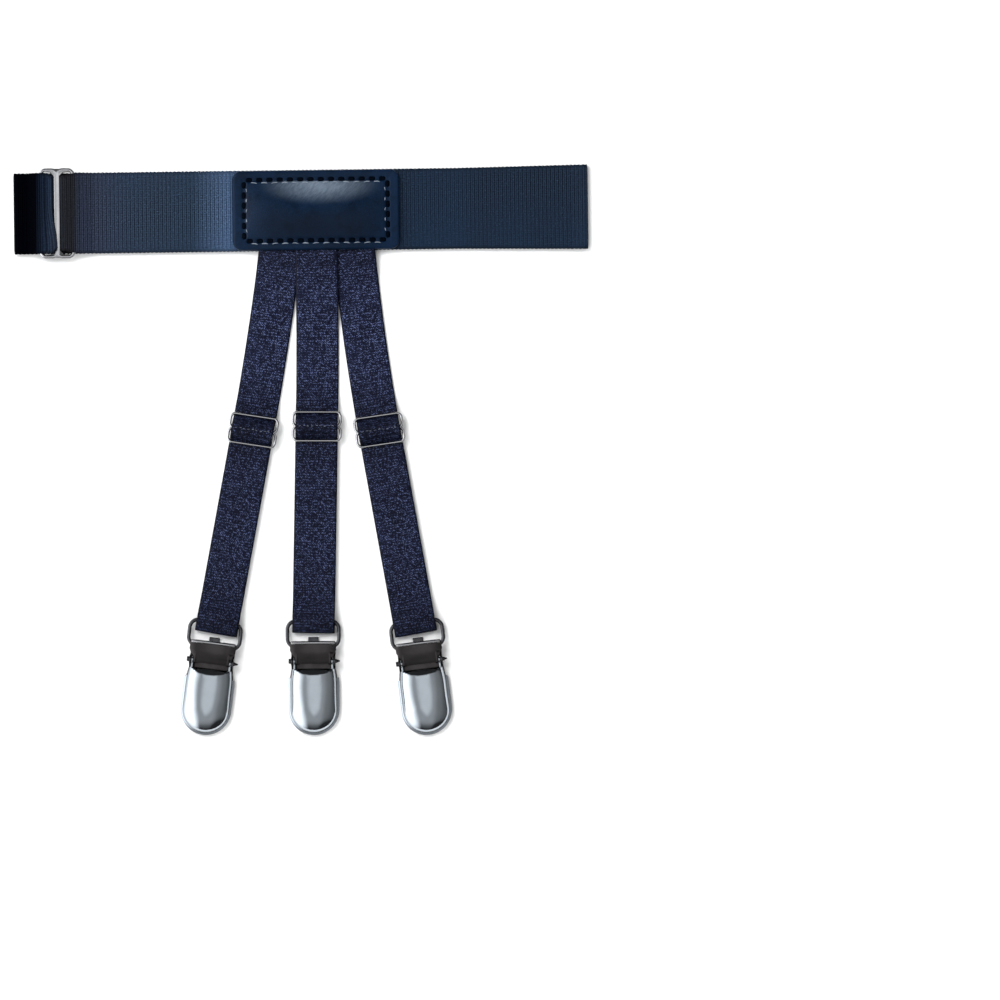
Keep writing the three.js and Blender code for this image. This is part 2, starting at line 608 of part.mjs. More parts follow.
// Clip cover: a pressed shell with a flat rim, its shoulders cut back beside the ears
function clipCover() {
  const rows = 13;
  const straightRows = 7;
  const shell = new THREE.BoxGeometry(2, 1, 1, 10, rows - 1, 1);
  const position = shell.attributes.position;
  const crownRadius = tipRadius - CLIP_SHEET * 1.5;
  for (let i = 0; i < position.count; i++) {
    const row = Math.round((0.5 - position.getY(i)) * (rows - 1));
    const isTip = row >= straightRows;
    const turn = isTip ? radians(87) * ((row - straightRows + 1) / (rows - straightRows)) : 0;
    const straight = (row / (straightRows - 1)) ** 1.4;
    const down = isTip ? tipCentre + tipRadius * Math.sin(turn) : lerp(coverTop, tipCentre, Math.min(straight, 1));
    const shoulder = clamp((down - coverTop) / COVER_SHOULDER, 0, 1);
    const half = isTip ? tipRadius * Math.cos(turn) : lerp(neckHalf, tipRadius, shoulder);
    const x = half * Math.sin((position.getX(i) * Math.PI) / 2);
    const fromSpine = isTip ? Math.hypot(x, down - tipCentre) : Math.abs(x);
    const crown = Math.sqrt(Math.max(0, 1 - (fromSpine / crownRadius) ** 2.3));
    const sunk = COVER_TOP_ROLL * (1 - Math.sqrt(1 - (1 - clamp((down - coverTop) / COVER_TOP_ROLL, 0, 1)) ** 2));
    const rise = (COVER_HEIGHT - CLIP_SHEET) * crown;
    const outside = Math.max(rise - sunk, rise * 0.3);
    position.setXYZ(i, x, -down, COVER_RIM + outside + (position.getZ(i) > 0 ? CLIP_SHEET : 0));
  }
  const cheekShape = new THREE.Shape();
  cheekShape.absarc(0, 0, CLIP_CHEEK_RADIUS, 0, Math.PI, false);
  cheekShape.lineTo(-COVER_PIVOT_REACH - CLIP_SHEET, GAP - CLIP_CHEEK_RADIUS);
  cheekShape.lineTo(-COVER_PIVOT_REACH - CLIP_SHEET, -CLIP_CHEEK_RADIUS);
  const inner = neckHalf - CLIP_SHEET;
  const cheeks = [inner, -neckHalf].map((start) =>
    sideways(extruded(cheekShape, CLIP_SHEET), start).translate(0, -CLIP_PIVOT_DROP, CLIP_PIVOT_HEIGHT),
  );
  return cut(joined(shell, ...cheeks), pinHole());
}

function clipOn(strap) {
  const clip = new THREE.Group();
  const fold = strapSpot(strap, strap.toSlider + STRAP_DOUBLED);
  const beyond = LOOP_LENGTH - LOOP_WIRE - LOOP_SLACK;
  const lean = radians(strap.clipLean) * (strap.side || -1);
  clip.position.set(fold.x + beyond * Math.sin(fold.heading), fold.y - beyond * Math.cos(fold.heading), 0);
  clip.rotation.z = lean;
  clip.add(
    meshOf(strap.name + "_wire_loop", wireLoop(), "gunmetal"),
    meshOf(strap.name + "_clip_base", clipBase(), "gunmetal"),
    meshOf(strap.name + "_clip_lever", clipLever(), "gunmetal"),
    meshOf(strap.name + "_clip_cover", clipCover(), "chrome"),
  );
  return clip;
}

function sliderOn(strap) {
  const mesh = meshOf(strap.name + "_strap_slider", strapSlider(), "nickel");
  const spot = strapSpot(strap, strap.toSlider);
  mesh.position.set(spot.x, spot.y, 0);
  mesh.rotation.z = radians(strap.sliderLean) * (strap.side || -1);
  return mesh;
}

const stay = new THREE.Group();
const bandGroup = new THREE.Group();
bandGroup.rotation.z = radians(BAND_TILT);
bandGroup.add(
  meshOf("thigh_band", thighBand(), "band"),
  meshOf("band_slider", bandSlider(), "nickel"),
  meshOf("leather_patch", leatherPatch(), "leather"),
);
stay.add(bandGroup);
for (const strap of STRAPS) {
  stay.add(meshOf(strap.name + "_strap", clipStrap(strap), "strap"), sliderOn(strap), clipOn(strap));
}

// The origin is below the middle of the whole stay, on the surface that it lies on.
stay.updateMatrixWorld(true);
const reach = new THREE.Box3().setFromObject(stay, true);
const middle = reach.getCenter(new THREE.Vector3());
stay.position.set(-middle.x, -middle.y, -reach.min.z);

export default stay;
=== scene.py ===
from math import atan2, ceil, cos, degrees, pi, radians, sin, sqrt, tan

import bpy
from mathutils import Matrix, Vector


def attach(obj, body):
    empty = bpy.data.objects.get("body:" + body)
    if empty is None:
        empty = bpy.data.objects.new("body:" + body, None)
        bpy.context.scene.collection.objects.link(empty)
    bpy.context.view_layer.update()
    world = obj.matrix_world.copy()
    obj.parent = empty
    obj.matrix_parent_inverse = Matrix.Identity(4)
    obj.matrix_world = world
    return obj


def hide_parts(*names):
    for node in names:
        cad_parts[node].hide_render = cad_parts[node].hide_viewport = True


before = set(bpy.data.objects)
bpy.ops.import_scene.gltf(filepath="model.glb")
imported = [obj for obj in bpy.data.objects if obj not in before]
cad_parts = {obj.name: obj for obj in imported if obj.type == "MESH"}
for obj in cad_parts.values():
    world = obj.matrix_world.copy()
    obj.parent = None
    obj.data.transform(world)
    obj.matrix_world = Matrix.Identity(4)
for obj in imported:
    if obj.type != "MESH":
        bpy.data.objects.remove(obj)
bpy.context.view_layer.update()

bl_info = {
    "name": "Shirt Stay",
    "version": (1, 0, 0),
    "blender": (4, 5, 0),
    "location": "View3D > Sidebar > Shirt Stay",
    "description": "A thigh band with a leather patch and three clip straps, laid flat",
    "category": "Object",
}

MM = 0.001

# The middle of the leather patch, from which the band's own frame is turned, and the band's tilt
BANDED = Vector((7.144, 112.5, 0)) * MM
BAND_TILT = radians(0.75)

# How far below the patch's middle the straps are sewn on
SEWN_END = 7.7

# Where each strap lies: the side it leans to, where it starts under the patch, how many straps lie
# under it, the run down to its slider and how far it turns outwards at the patch and lower down
STRAPS = {
    "left": {"side": -1, "start": -15.5, "layer": 0, "to_slider": 96.6, "top": 6.6, "low": 10.3},
    "middle": {"side": 0, "start": 0, "layer": 1, "to_slider": 93.7, "top": -1.3, "low": 0.9},
    "right": {"side": 1, "start": 16.8, "layer": 0, "to_slider": 96.6, "top": 5.05, "low": 10.3},
}

# The middle of each strap slider and of each wire loop's lower bar, in mm, and their turns in degrees
SLIDERS = {"left": (-22.5, 9.15, -8.5), "middle": (7.498, 11.0, 0), "right": (36.85, 9.25, 8.3)}
CLIPS = {"left": (-41.09, -92.763, -7), "middle": (5.842, -92.583, 0.5), "right": (55.378, -92.763, 7)}


def length_property(name, description, millimetres):
    default = millimetres * MM
    return bpy.props.FloatProperty(name=name, description=description, default=default, unit="LENGTH")


def colour_property(name, description, *rgb):
    return bpy.props.FloatVectorProperty(name=name, description=description, default=rgb, subtype="COLOR")


class StaySettings(bpy.types.PropertyGroup):
    """Sizes and colours of the dressed stay"""

    rib_pitch: length_property("Rib pitch", "From one band rib to the next", 0.94)
    rib_height: length_property("Rib height", "How far a band rib stands out", 0.07)
    selvedge: length_property("Selvedge", "Width of the band's firm edge", 1.1)
    stitch_pitch: length_property("Stitch pitch", "From one patch stitch to the next", 4.8)
    stitch_thick: length_property("Thread", "Thickness of the patch's thread", 2.5)
    stitch_inset: length_property("End inset", "From the patch's ends to their stitches", 5.5)
    stitch_inset_side: length_property("Side inset", "From the patch's long edges to their stitches", 4.4)
    patch_puff: length_property("Patch puff", "How far the padded panel stands out", 1.4)
    band_colour: colour_property("Band", "Colour of the elastic band", 0.037, 0.058, 0.101)
    strap_colour: colour_property("Strap", "Colour of the satin straps", 0.0031, 0.0039, 0.0118)
    leather_colour: colour_property("Leather", "Colour of the patch", 0.0022, 0.0085, 0.023)
    nickel_colour: colour_property("Nickel", "Colour of the sliders", 0.66, 0.66, 0.68)
    gunmetal_colour: colour_property("Gunmetal", "Colour of the loops and clip plates", 0.1, 0.101, 0.108)
    lever_colour: colour_property("Lever", "Colour of the dark levers", 0.062, 0.057, 0.057)
    chrome_colour: colour_property("Chrome", "Colour of the clip covers", 0.49, 0.535, 0.58)
    floor_colour: colour_property("Floor", "Colour of the floor", 0.9, 0.9, 0.9)


def settings():
    return bpy.context.scene.stay_settings


def smooth(value, low, high):
    """0 up to low, 1 from high on and an eased step between."""
    share = min(max((value - low) / (high - low), 0.0), 1.0)
    return share * share * (3 - 2 * share)


# A turn that counts as none, and the steps in which a rounded corner turns
STRAIGHT = 1e-4
ARC_STEP = radians(6)


def rounded_run(corners, step, closed=False):
    """Even samples of a run of cloth, straight between rounded corners, and the run's length."""
    dense = []
    count = len(corners)
    for index, corner in enumerate(corners):
        here = Vector(corner["at"])
        width = corner.get("width", 1)
        if not closed and index in (0, count - 1):
            dense.append((here, width))
            continue
        arriving = here - Vector(corners[index - 1]["at"])
        leaving = Vector(corners[(index + 1) % count]["at"]) - here
        room = min(arriving.length, leaving.length) / 2
        come = arriving.normalized()
        turn = atan2(come.x * leaving.y - come.y * leaving.x, come.dot(leaving))
        if abs(turn) < STRAIGHT:
            dense.append((here, width))
            continue
        reach = min(corner["radius"] * tan(abs(turn) / 2), room)
        radius = reach / tan(abs(turn) / 2)
        side = Vector((-come.y, come.x)) * (1 if turn > 0 else -1)
        centre = here - come * reach + side * radius
        steps = max(2, ceil(abs(turn) / ARC_STEP))
        for i in range(steps + 1):
            turned = turn * i / steps
            out = Matrix.Rotation(turned, 2) @ side
            dense.append((centre - out * radius, width))
    if closed:
        dense.append(dense[0])
    reached = [0.0]
    for (a, _), (b, _) in zip(dense, dense[1:]):
        reached.append(reached[-1] + (b - a).length)
    total = reached[-1]
    steps = round(total / step)
    samples = []
    piece = 0
    for i in range(steps + (0 if closed else 1)):
        distance = total * i / steps
        while piece < len(dense) - 2 and reached[piece + 1] < distance:
            piece += 1
        span = max(reached[piece + 1] - reached[piece], 1e-9)
        share = (distance - reached[piece]) / span
        (a, wide_a), (b, wide_b) = dense[piece], dense[piece + 1]
        width = wide_a + (wide_b - wide_a) * share
        samples.append({"at": a.lerp(b, share), "width": width, "run": distance})
    last = len(samples)
    for i, sample in enumerate(samples):
        before = samples[i - 1] if closed or i else sample
        after = samples[(i + 1) % last] if closed or i < last - 1 else sample
        heading = (after["at"] - before["at"]).normalized()
        sample["normal"] = Vector((-heading.y, heading.x))
    return samples, total


def mesh_object(name, points, faces):
    mesh = bpy.data.meshes.new(name)
    mesh.from_pydata(points, [], faces)
    mesh.update()
    mesh.shade_smooth()
    piece = bpy.data.objects.new(name, mesh)
    bpy.context.scene.collection.objects.link(piece)
    return piece


# How far the edge of a woven strip is rounded, and how much of its thickness the very edge keeps
ROUND_EDGE = 0.3 * MM
EDGE_LEFT = 0.12 * MM


def woven_strip(name, samples, half_width, half_thick, place, columns, closed=False):
    """A woven strip along samples; half_width(sample) and half_thick(sample, across) give its section."""
    points, faces, weave = [], [], []
    ring = 2 * (columns + 1)
    for sample in samples:
        half = half_width(sample)
        for i in range(ring):
            front = i <= columns
            step = i if front else ring - 1 - i
            even = 2 * step / columns - 1
            across = (0.65 * even + 0.35 * sin(pi / 2 * even)) * half
            inside = half - abs(across)
            edge = min(1, (inside + EDGE_LEFT) / ROUND_EDGE)
            rounded = sqrt(max(0.0, 1 - (1 - edge) ** 2))
            offset = half_thick(sample, across) * rounded * (1 if front else -1)
            spot = sample["at"] + sample["normal"] * offset
            points.append(place(across, spot.x, spot.y))
            weave.append((sample["run"], across, inside))
    rows = len(samples)
    for row in range(rows if closed else rows - 1):
        following = (row + 1) % rows
        for i in range(ring):
            j = (i + 1) % ring
            a, b = row * ring, following * ring
            faces.append((a + i, b + i, b + j, a + j))
    if not closed:
        faces.append(tuple(range(ring)))
        faces.append(tuple(reversed(range((rows - 1) * ring, rows * ring))))
    piece = mesh_object(name, points, faces)
    attribute = piece.data.attributes.new("weave", "FLOAT_VECTOR", "POINT")
    attribute.data.foreach_set("vector", [value for triple in weave for value in triple])
    return piece


def face_outwards(piece):
    select_only(piece)
    bpy.ops.object.mode_set(mode="EDIT")
    bpy.ops.mesh.select_all(action="SELECT")
    bpy.ops.mesh.normals_make_consistent(inside=False)
    bpy.ops.object.mode_set(mode="OBJECT")


def select_only(*pieces):
    bpy.ops.object.select_all(action="DESELECT")
    for piece in pieces:
        piece.select_set(True)
    bpy.context.view_layer.objects.active = pieces[0]


def coated(piece, material):
    piece.data.materials.clear()
    piece.data.materials.append(material)
    return piece


def dressed(piece, material, node, slot, body="root"):
    """Gives a finished piece its material and the body it rides on, and hides the CAD node it stands for.
    """
    if material:
        coated(piece, material)
    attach(piece, body)
    if node:
        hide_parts(node)
    return piece


# Materials, which all begin as a recipe
SPAN_ENDS = ("From Min", "From Max", "To Min", "To Max")


class Recipe:
    """A material under construction: nodes are added with their inputs and joined to the shader."""

    def __init__(self, name):
        self.material = bpy.data.materials.new(name)
        self.material.use_nodes = True
        self.tree = self.material.node_tree
        self.shader = self.tree.nodes["Principled BSDF"]

    def add(self, kind, inputs=None, **values):
        node = self.tree.nodes.new(kind)
        for name, value in values.items():
            setattr(node, name, value)
        for name, value in (inputs or {}).items():
            self.feed(node.inputs[name], value)
        return node

    def feed(self, socket, value):
        if isinstance(value, bpy.types.NodeSocket):
            self.tree.links.new(value, socket)
        else:
            socket.default_value = value

    def math(self, operation, first, second=0.0, third=0.0):
        return self.add("ShaderNodeMath", {0: first, 1: second, 2: third}, operation=operation).outputs[0]

    def scaled(self, value, factor):
        return self.math("MULTIPLY", value, factor)

    def summed(self, *terms):
        """The sum of values, each with its factor."""
        total = self.scaled(*terms[0])
        for value, factor in terms[1:]:
            total = self.math("MULTIPLY_ADD", value, factor, total)
        return total

    def wave(self, value, period):
        """A sine that repeats at that period."""
        return self.math("SINE", self.scaled(value, 2 * pi / period))

    def span(self, value, from_min, from_max, to_min=0.0, to_max=1.0):
        inputs = {"Value": value, **dict(zip(SPAN_ENDS, (from_min, from_max, to_min, to_max)))}
        return self.add("ShaderNodeMapRange", inputs, interpolation_type="SMOOTHSTEP").outputs[0]

    def place(self):
        return self.add("ShaderNodeTexCoord").outputs["Object"]

    def parts(self, vector):
        return self.add("ShaderNodeSeparateXYZ", {0: vector}).outputs

    def weave(self):
        """How far along the cloth a place is, how far across it and how far inside its edge."""
        return tuple(self.parts(self.add("ShaderNodeAttribute", attribute_name="weave").outputs["Vector"]))

    def combine(self, x, y, z=0.0):
        return self.add("ShaderNodeCombineXYZ", {0: x, 1: y, 2: z}).outputs[0]

    def noise(self, vector, scale, detail=3.0, roughness=0.5):
        inputs = {"Vector": vector, "Scale": scale, "Detail": detail, "Roughness": roughness}
        return self.add("ShaderNodeTexNoise", inputs).outputs["Fac"]

    def cells(self, vector, scale, feature="F1"):
        inputs = {"Vector": vector, "Scale": scale}
        return self.add("ShaderNodeTexVoronoi", inputs, feature=feature)

    def spot(self, vector, middle, reach):
        """1 in the middle of a soft patch and 0 from its reach on."""
        eased = self.add("ShaderNodeMapping", {0: vector, 1: middle, 3: reach}, vector_type="TEXTURE")
        ball = self.add("ShaderNodeTexGradient", {0: eased.outputs[0]}, gradient_type="SPHERICAL")
        return ball.outputs["Fac"]

    def mix(self, share, first, second, blend="MIX"):
        node = self.add("ShaderNodeMix", {0: share}, data_type="RGBA", blend_type=blend)
        self.feed(node.inputs[6], colour(first))
        self.feed(node.inputs[7], colour(second))
        return node.outputs[2]

    def ramp(self, value, stops):
        """Colours that follow a value from 0 to 1, as rows of place and colour."""
        node = self.add("ShaderNodeValToRGB", {"Fac": value})
        band = node.color_ramp.elements
        while len(band) < len(stops):
            band.new(0.5)
        for element, (place, tone) in zip(band, stops):
            element.position = place
            element.color = (*tone, 1)
        return node.outputs["Color"]

    def times(self, first, second):
        return self.mix(1.0, first, second, "MULTIPLY")

    def bump(self, height, distance, strength=1.0):
        inputs = {"Height": height, "Distance": distance, "Strength": strength}
        return self.add("ShaderNodeBump", inputs).outputs["Normal"]

    def finish(self, **inputs):
        for name, value in inputs.items():
            socket = self.shader.inputs[name.replace("_", " ")]
            self.feed(socket, colour(value) if socket.type == "RGBA" else value)
        return self.material


def colour(value):
    if isinstance(value, bpy.types.NodeSocket):
        return value
    return (*value[:3], 1)


def shade(value, factor, tint=(1, 1, 1)):
    return tuple(channel * factor * t for channel, t in zip(value[:3], tint))


# Painted light and shade along the band, as rows of place and tint: painted shade in the folded end,
# darkest and warmest painted shade beside the slider, and a painted sheen where it rises to the patch
BAND_LONG = 0.27
BAND_PAINTED_LIGHT = (
    (0.039, (0.005, 0.005, 0.01)),
    (0.046, (0.02, 0.045, 0.07)),
    (0.065, (0.23, 0.23, 0.24)),
    (0.085, (0.19, 0.13, 0.1)),
    (0.105, (0.17, 0.11, 0.085)),
    (0.12, (0.46, 0.37, 0.37)),
    (0.2, (0.36, 0.38, 0.39)),
    (0.31, (0.32, 0.37, 0.38)),
    (0.37, (0.9, 0.96, 1.0)),
    (0.45, (0.3, 0.4, 0.45)),
    (0.66, (0.185, 0.225, 0.25)),
)


def band_material():
    """Ribbed elastic: fine cords across the band, crossed threads, a firm darker edge, painted shade in
    the rib grooves and painted light along the band.
    """
    look = settings()
    r = Recipe("ribbed_elastic")
    along, across, inside = r.weave()
    rib = r.wave(along, look.rib_pitch)
    thread = r.wave(across, 1.1 * MM)
    fleck = r.noise(r.combine(along, across), 1500, 2)
    broad = r.noise(r.combine(along, r.scaled(across, 0.25)), 22, 2)
    pair = r.math("SINE", r.summed((along, pi / look.rib_pitch), (fleck, 3.5)))
    # painted shade in the grooves between ribs and painted light on their crests, mixed into the colour
    # below
    rib_light_and_shade = r.summed((rib, 1), (thread, 0.4), (pair, 0.7))
    base = look.band_colour
    ground = r.mix(r.span(rib_light_and_shade, -1.9, 1.5), shade(base, 0.3), shade(base, 1.7))
    cloth = r.mix(r.span(broad, 0.42, 0.72, 0, 0.4), ground, shade(base, 1.5, (0.8, 1.05, 1.25)))
    flecked = r.mix(r.span(fleck, 0.56, 0.72, 0, 0.6), cloth, shade(base, 3.2, (1.05, 1.05, 1)))
    flecked = r.mix(r.span(fleck, 0.3, 0.44, 0.6, 0), flecked, shade(base, 0.3))
    firm = r.span(inside, look.selvedge * 0.7, look.selvedge * 1.3)
    x = r.parts(r.place())[0]
    # painted light and shade along the band, from the place across x
    painted_light = r.ramp(r.math("MULTIPLY_ADD", x, 1 / BAND_LONG, 0.5), BAND_PAINTED_LIGHT)
    groove = r.span(r.math("ABSOLUTE", r.math("SUBTRACT", inside, look.selvedge)), 0, GROOVE_WIDE * MM)
    height = r.summed((rib, 0.5), (thread, 0.22), (fleck, 0.5), (groove, 0.8))
    return r.finish(
        Base_Color=r.times(r.mix(firm, shade(base, 0.9), flecked), painted_light),
        Roughness=r.span(fleck, 0.3, 0.8, 0.5, 0.75),
        Normal=r.bump(height, 0.1 * MM),
        Specular_IOR_Level=r.span(x, -0.1245, -0.1226, 0.01, 0.07),
    )


# The satin's painted sheen comes again at this length, counted up the stay from this place, where it is
# painted darkest
SHEEN_LONG = 0.097
SHEEN_FROM = 0.009


def strap_material():
    """Satin strap: faint ribs across, tiny painted glints on the shiny yarn, darker edges that are partly
    painted shade, and painted sheen along it.
    """
    look = settings()
    r = Recipe("satin_strap")
    along, across, inside = r.weave()
    rib = r.wave(along, 1.25 * MM)
    twill = r.wave(r.math("SUBTRACT", across, along), 1.1 * MM)
    yarn = r.cells(r.combine(r.scaled(along, 0.9), across), 2700)
    grain = r.noise(r.combine(along, across), 1800, 3, 0.6)
    broad = r.noise(r.combine(along, r.scaled(across, 2.5)), 45, 3)
    base = look.strap_colour
    ground = r.mix(r.span(broad, 0.35, 0.7), shade(base, 0.9), shade(base, 1.3))
    ribbed = r.mix(r.span(rib, -1, 1, 0, 0.35), ground, shade(base, 0.4))
    # painted glints: bright flecks of the shiny yarn, painted into the colour
    painted_yarn_glints = r.span(r.summed((yarn.outputs["Color"], 1), (twill, 0.1), (rib, 0.1)), 0.6, 1, 0, 0.95)
    cloth = r.mix(painted_yarn_glints, ribbed, shade(base, 20.5, (1.22, 1.25, 0.86)))
    # darker edges: partly the real selvedge, partly painted shade where the strap meets what lies beside
    # it
    edged = r.mix(r.span(inside, 0.2 * MM, 0.9 * MM), shade(base, 0.8), cloth)
    # painted sheen and painted shade along the strap by its height up the stay, and painted shade over the
    # lower stretch
    up = r.parts(r.place())[1]
    from_dull = r.math("SUBTRACT", up, SHEEN_FROM)
    sheen_wave = r.math("ABSOLUTE", r.wave(from_dull, 2 * SHEEN_LONG))
    lit = r.math("MULTIPLY", r.span(sheen_wave, 0, 1, 0.6, 1.2), r.span(up, -0.02, 0.0, 0.8, 1))
    height = r.summed((rib, 0.3), (yarn.outputs["Distance"], 0.9), (grain, 0.5))
    return r.finish(
        Base_Color=r.times(edged, lit),
        Roughness=r.span(grain, 0.3, 0.75, 0.36, 0.6),
        Normal=r.bump(height, 0.09 * MM),
        Specular_IOR_Level=0.1,
    )


# The padded leather's painted highlight on its upper part and its painted shade over its low part, each a
# middle and a reach every way, and where the painted highlight fades out upwards
HIGHLIGHT_AT = (0.009, 0.1245, 0.007)
HIGHLIGHT_SIZE = (0.031, 0.0105, 0.03)
SHADED_AT = (0.008, 0.1045, 0.007)
SHADED_SIZE = (0.038, 0.0135, 0.03)
HIGHLIGHT_TOP = (0.1265, 0.1256)
HIGHLIGHT_TONE = (0.125, 0.16, 0.205)


def leather_material():
    """Glossy leather: fine pebble grain with shallow creases under a clear finish, a painted highlight
    above and painted shade below.
    """
    look = settings()
    r = Recipe("glossy_leather")
    where = r.place()
    pebble = r.cells(where, 900, "DISTANCE_TO_EDGE").outputs["Distance"]
    pores = r.noise(where, 2400, 2)
    crease = r.noise(where, 140, 4, 0.6)
    broad = r.noise(where, 26, 3)
    base = look.leather_colour
    hide = r.mix(r.span(broad, 0.35, 0.7), shade(base, 0.75), shade(base, 1.2, (0.9, 1.05, 1.1)))
    pored = r.mix(r.span(pores, 0.5, 0.68, 0, 0.4), hide, shade(base, 2.3))
    pored = r.mix(r.span(crease, 0.35, 0.5, 0.4, 0), pored, shade(base, 0.4))
    # painted shade over the padding's low part
    painted_shade = r.span(r.spot(where, SHADED_AT, SHADED_SIZE), 0, 0.9, 0, 0.6)
    pored = r.mix(painted_shade, pored, shade(base, 0.25))
    slanted = r.add("ShaderNodeMapping", {0: where, 2: (0, 0, -0.7), 3: (1, 6, 1)}, vector_type="TEXTURE")
    brushed = r.noise(slanted.outputs[0], 1300, 3)
    # painted highlight across the padding's upper part, streaked and fading out at the top seam
    painted_highlight = r.span(r.spot(where, HIGHLIGHT_AT, HIGHLIGHT_SIZE), 0, 1)
    painted_highlight = r.math("MULTIPLY", painted_highlight, r.span(brushed, 0.25, 0.75, 0.6, 1))
    painted_highlight = r.math("MULTIPLY", painted_highlight, r.span(r.parts(where)[1], *HIGHLIGHT_TOP))
    height = r.summed((crease, 1.2), (r.span(pebble, 0, 0.25, 0, 0.5), 1))
    return r.finish(
        Base_Color=r.mix(painted_highlight, pored, HIGHLIGHT_TONE),
        Roughness=r.span(crease, 0.3, 0.7, 0.3, 0.42),
        Normal=r.bump(height, 0.05 * MM, 0.8),
        Specular_IOR_Level=0.13,
    )


def thread_material():
    """Twisted waxed thread, nearly black."""
    r = Recipe("patch_thread")
    where = r.place()
    twist = r.add("ShaderNodeTexWave", {"Vector": where, "Scale": 900, "Distortion": 1.5}).outputs["Fac"]
    wax = r.noise(where, 700, 2)
    base = settings().leather_colour
    thread = r.mix(twist, shade(base, 0.05), shade(base, 0.25))
    waxed = r.mix(r.span(wax, 0.6, 0.8, 0, 0.3), thread, shade(base, 0.8))
    return r.finish(
        Base_Color=waxed,
        Roughness=r.span(wax, 0.3, 0.7, 0.5, 0.7),
        Normal=r.bump(twist, 0.05 * MM),
        Specular_IOR_Level=0.03,
    )


def stitch_material(name, brightest):
    """Pale thread that shows on the straps over their sliders, or painted glints on the leather between
    stitches.
    """
    r = Recipe(name)
    where = r.place()
    twist = r.noise(where, 1500, 2)
    pale = r.mix(twist, shade(brightest, 0.2), brightest)
    rough = r.span(twist, 0.2, 0.8, 0.4, 0.6)
    return r.finish(Base_Color=pale, Roughness=rough, Normal=r.bump(twist, 0.04 * MM))


def metal_material(name, base, smooth, rough, haze, flank_shade, flank_shade_span):
    """Plated metal: a slightly uneven shine, fine hairlines, faint handling haze and painted shade on its
    flanks.
    """
    r = Recipe(name)
    where = r.place()
    upward = r.parts(r.add("ShaderNodeTexCoord").outputs["Normal"])[2]
    cloud = r.noise(where, 160, 4, 0.6)
    hairs = r.noise(r.add("ShaderNodeMapping", {"Vector": where, "Scale": (1, 9, 1)}).outputs[0], 700, 3)
    specks = r.noise(where, 2600, 2)
    # painted shade on the flanks: darker where a face turns away from upright
    flank_shaded = r.mix(r.span(upward, *flank_shade_span), shade(base, flank_shade), base)
    mottled = r.mix(r.span(cloud, 0.35, 0.7, 0, haze), flank_shaded, shade(base, 0.72, (1, 1, 1.03)))
    pitted = r.mix(r.span(specks, 0.68, 0.8, 0, 0.4), mottled, shade(base, 0.45))
    shine = r.math("ADD", r.span(cloud, 0.3, 0.7, smooth, rough), r.span(hairs, 0.5, 0.8, 0, 0.05))
    height = r.summed((hairs, 1), (cloud, 1.5))
    return r.finish(Base_Color=pitted, Metallic=1.0, Roughness=shine, Normal=r.bump(height, 0.004 * MM))


def floor_material():
    """Pale paper with an even, barely visible tooth."""
    r = Recipe("pale_paper")
    tooth = r.noise(r.place(), 900, 3)
    base = settings().floor_colour
    paper = r.mix(tooth, shade(base, 0.99), base)
    return r.finish(Base_Color=paper, Roughness=0.9, Normal=r.bump(tooth, 0.01 * MM, 0.3))


def shared(name, make, *values):
    """A material that several pieces use is made once."""
    return bpy.data.materials.get(name) or make(name, *values)


# Each metal's smoothest and roughest shine, its haze, how dark the painted shade on its flanks is and how
# upright a face turns from that painted shade to the metal's own colour
METALS = {
    "nickel": ("nickel_colour", 0.14, 0.24, 0.25, 0.14, (0.3, 0.85)),
    "gunmetal": ("gunmetal_colour", 0.14, 0.26, 0.25, 0.12, (0.4, 0.95)),
    "dark_plate": ("lever_colour", 0.14, 0.24, 0.6, 0.15, (0.5, 0.98)),
    "chrome": ("chrome_colour", 0.06, 0.12, 0.15, 0.12, (0.3, 0.7)),
}


def metal(name):
    setting, *finish = METALS[name]
    return shared(name, metal_material, getattr(settings(), setting), *finish)


# The brightest tone of the pale thread on the straps, and of the painted glints on the leather between two
# stitches
THREAD_TONE = (0.2, 0.225, 0.3)
PAINTED_GLINT_TONE = (0.27, 0.32, 0.39)


# Cloth and leather, made as meshes along their runs
def corner(along, level, radius=0.0, width=1.0):
    return {"at": (along * MM, level * MM), "radius": radius * MM, "width": width}


def on_band(across, along, level):
    """A place in the band's own frame: along it, across it and above the surface."""
    return BANDED + Matrix.Rotation(BAND_TILT, 3, "Z") @ Vector((along, across, level))


# The band's run as places along it and levels above the surface: low on the back layer, resting on
# the front one, and over the slider's outer bars
LOW, REST, OVER = 0.6, 2.1, 5.3
WIDE, NARROW, NARROWEST = 1.042, 0.93, 0.9
BAND_RUN = [
    corner(127.1, LOW, 1.3, WIDE),
    corner(127.1, 3.2, 1.3, WIDE),
    corner(120.1, REST, 8, WIDE),
    corner(67.1, REST, 8),
    corner(-104.75, REST, 4),
    corner(-111.75, OVER, 2.4),
    corner(-119.25, OVER, 0.96, NARROW),
    corner(-119.25, REST, 0.96, NARROWEST),
    corner(-123.75, REST, 0.96, NARROWEST),
    corner(-123.75, 4.66, 0.96, NARROW),
    corner(-126.475, 4.4, 1.92),
    corner(-127.765, OVER, 0.96),
    corner(-131.25, OVER, 2.4),
    corner(-135.3, REST, 2.4),
    corner(-141.4, 3.2, 1.3),
    corner(-141.4, LOW, 1.3),
    corner(67.1, LOW, 8),
]

# Half the band's breadth and thickness, the groove along its firm edge and the firm edge's lower ribs
BAND_HALF = 18.9
BAND_THICK_HALF = 0.52
GROOVE_WIDE, GROOVE_DEEP = 0.25, 0.09
FIRM_RIBS = 0.35

# The cloth left of the slider's middle bar is drawn over it low down: how far it moves and rises
DRAWN_ALONG = 2.7
DRAWN_UP = 0.75


def drawn_over(across, along, level):
    """1 where the cloth is drawn over the middle bar, from its place in mm."""
    share = smooth(-across, -4, 17) * smooth(level, 4.1, 5.0) * smooth(along, -129, -124.5)
    return share * (1 - smooth(along, -122.5, -121))


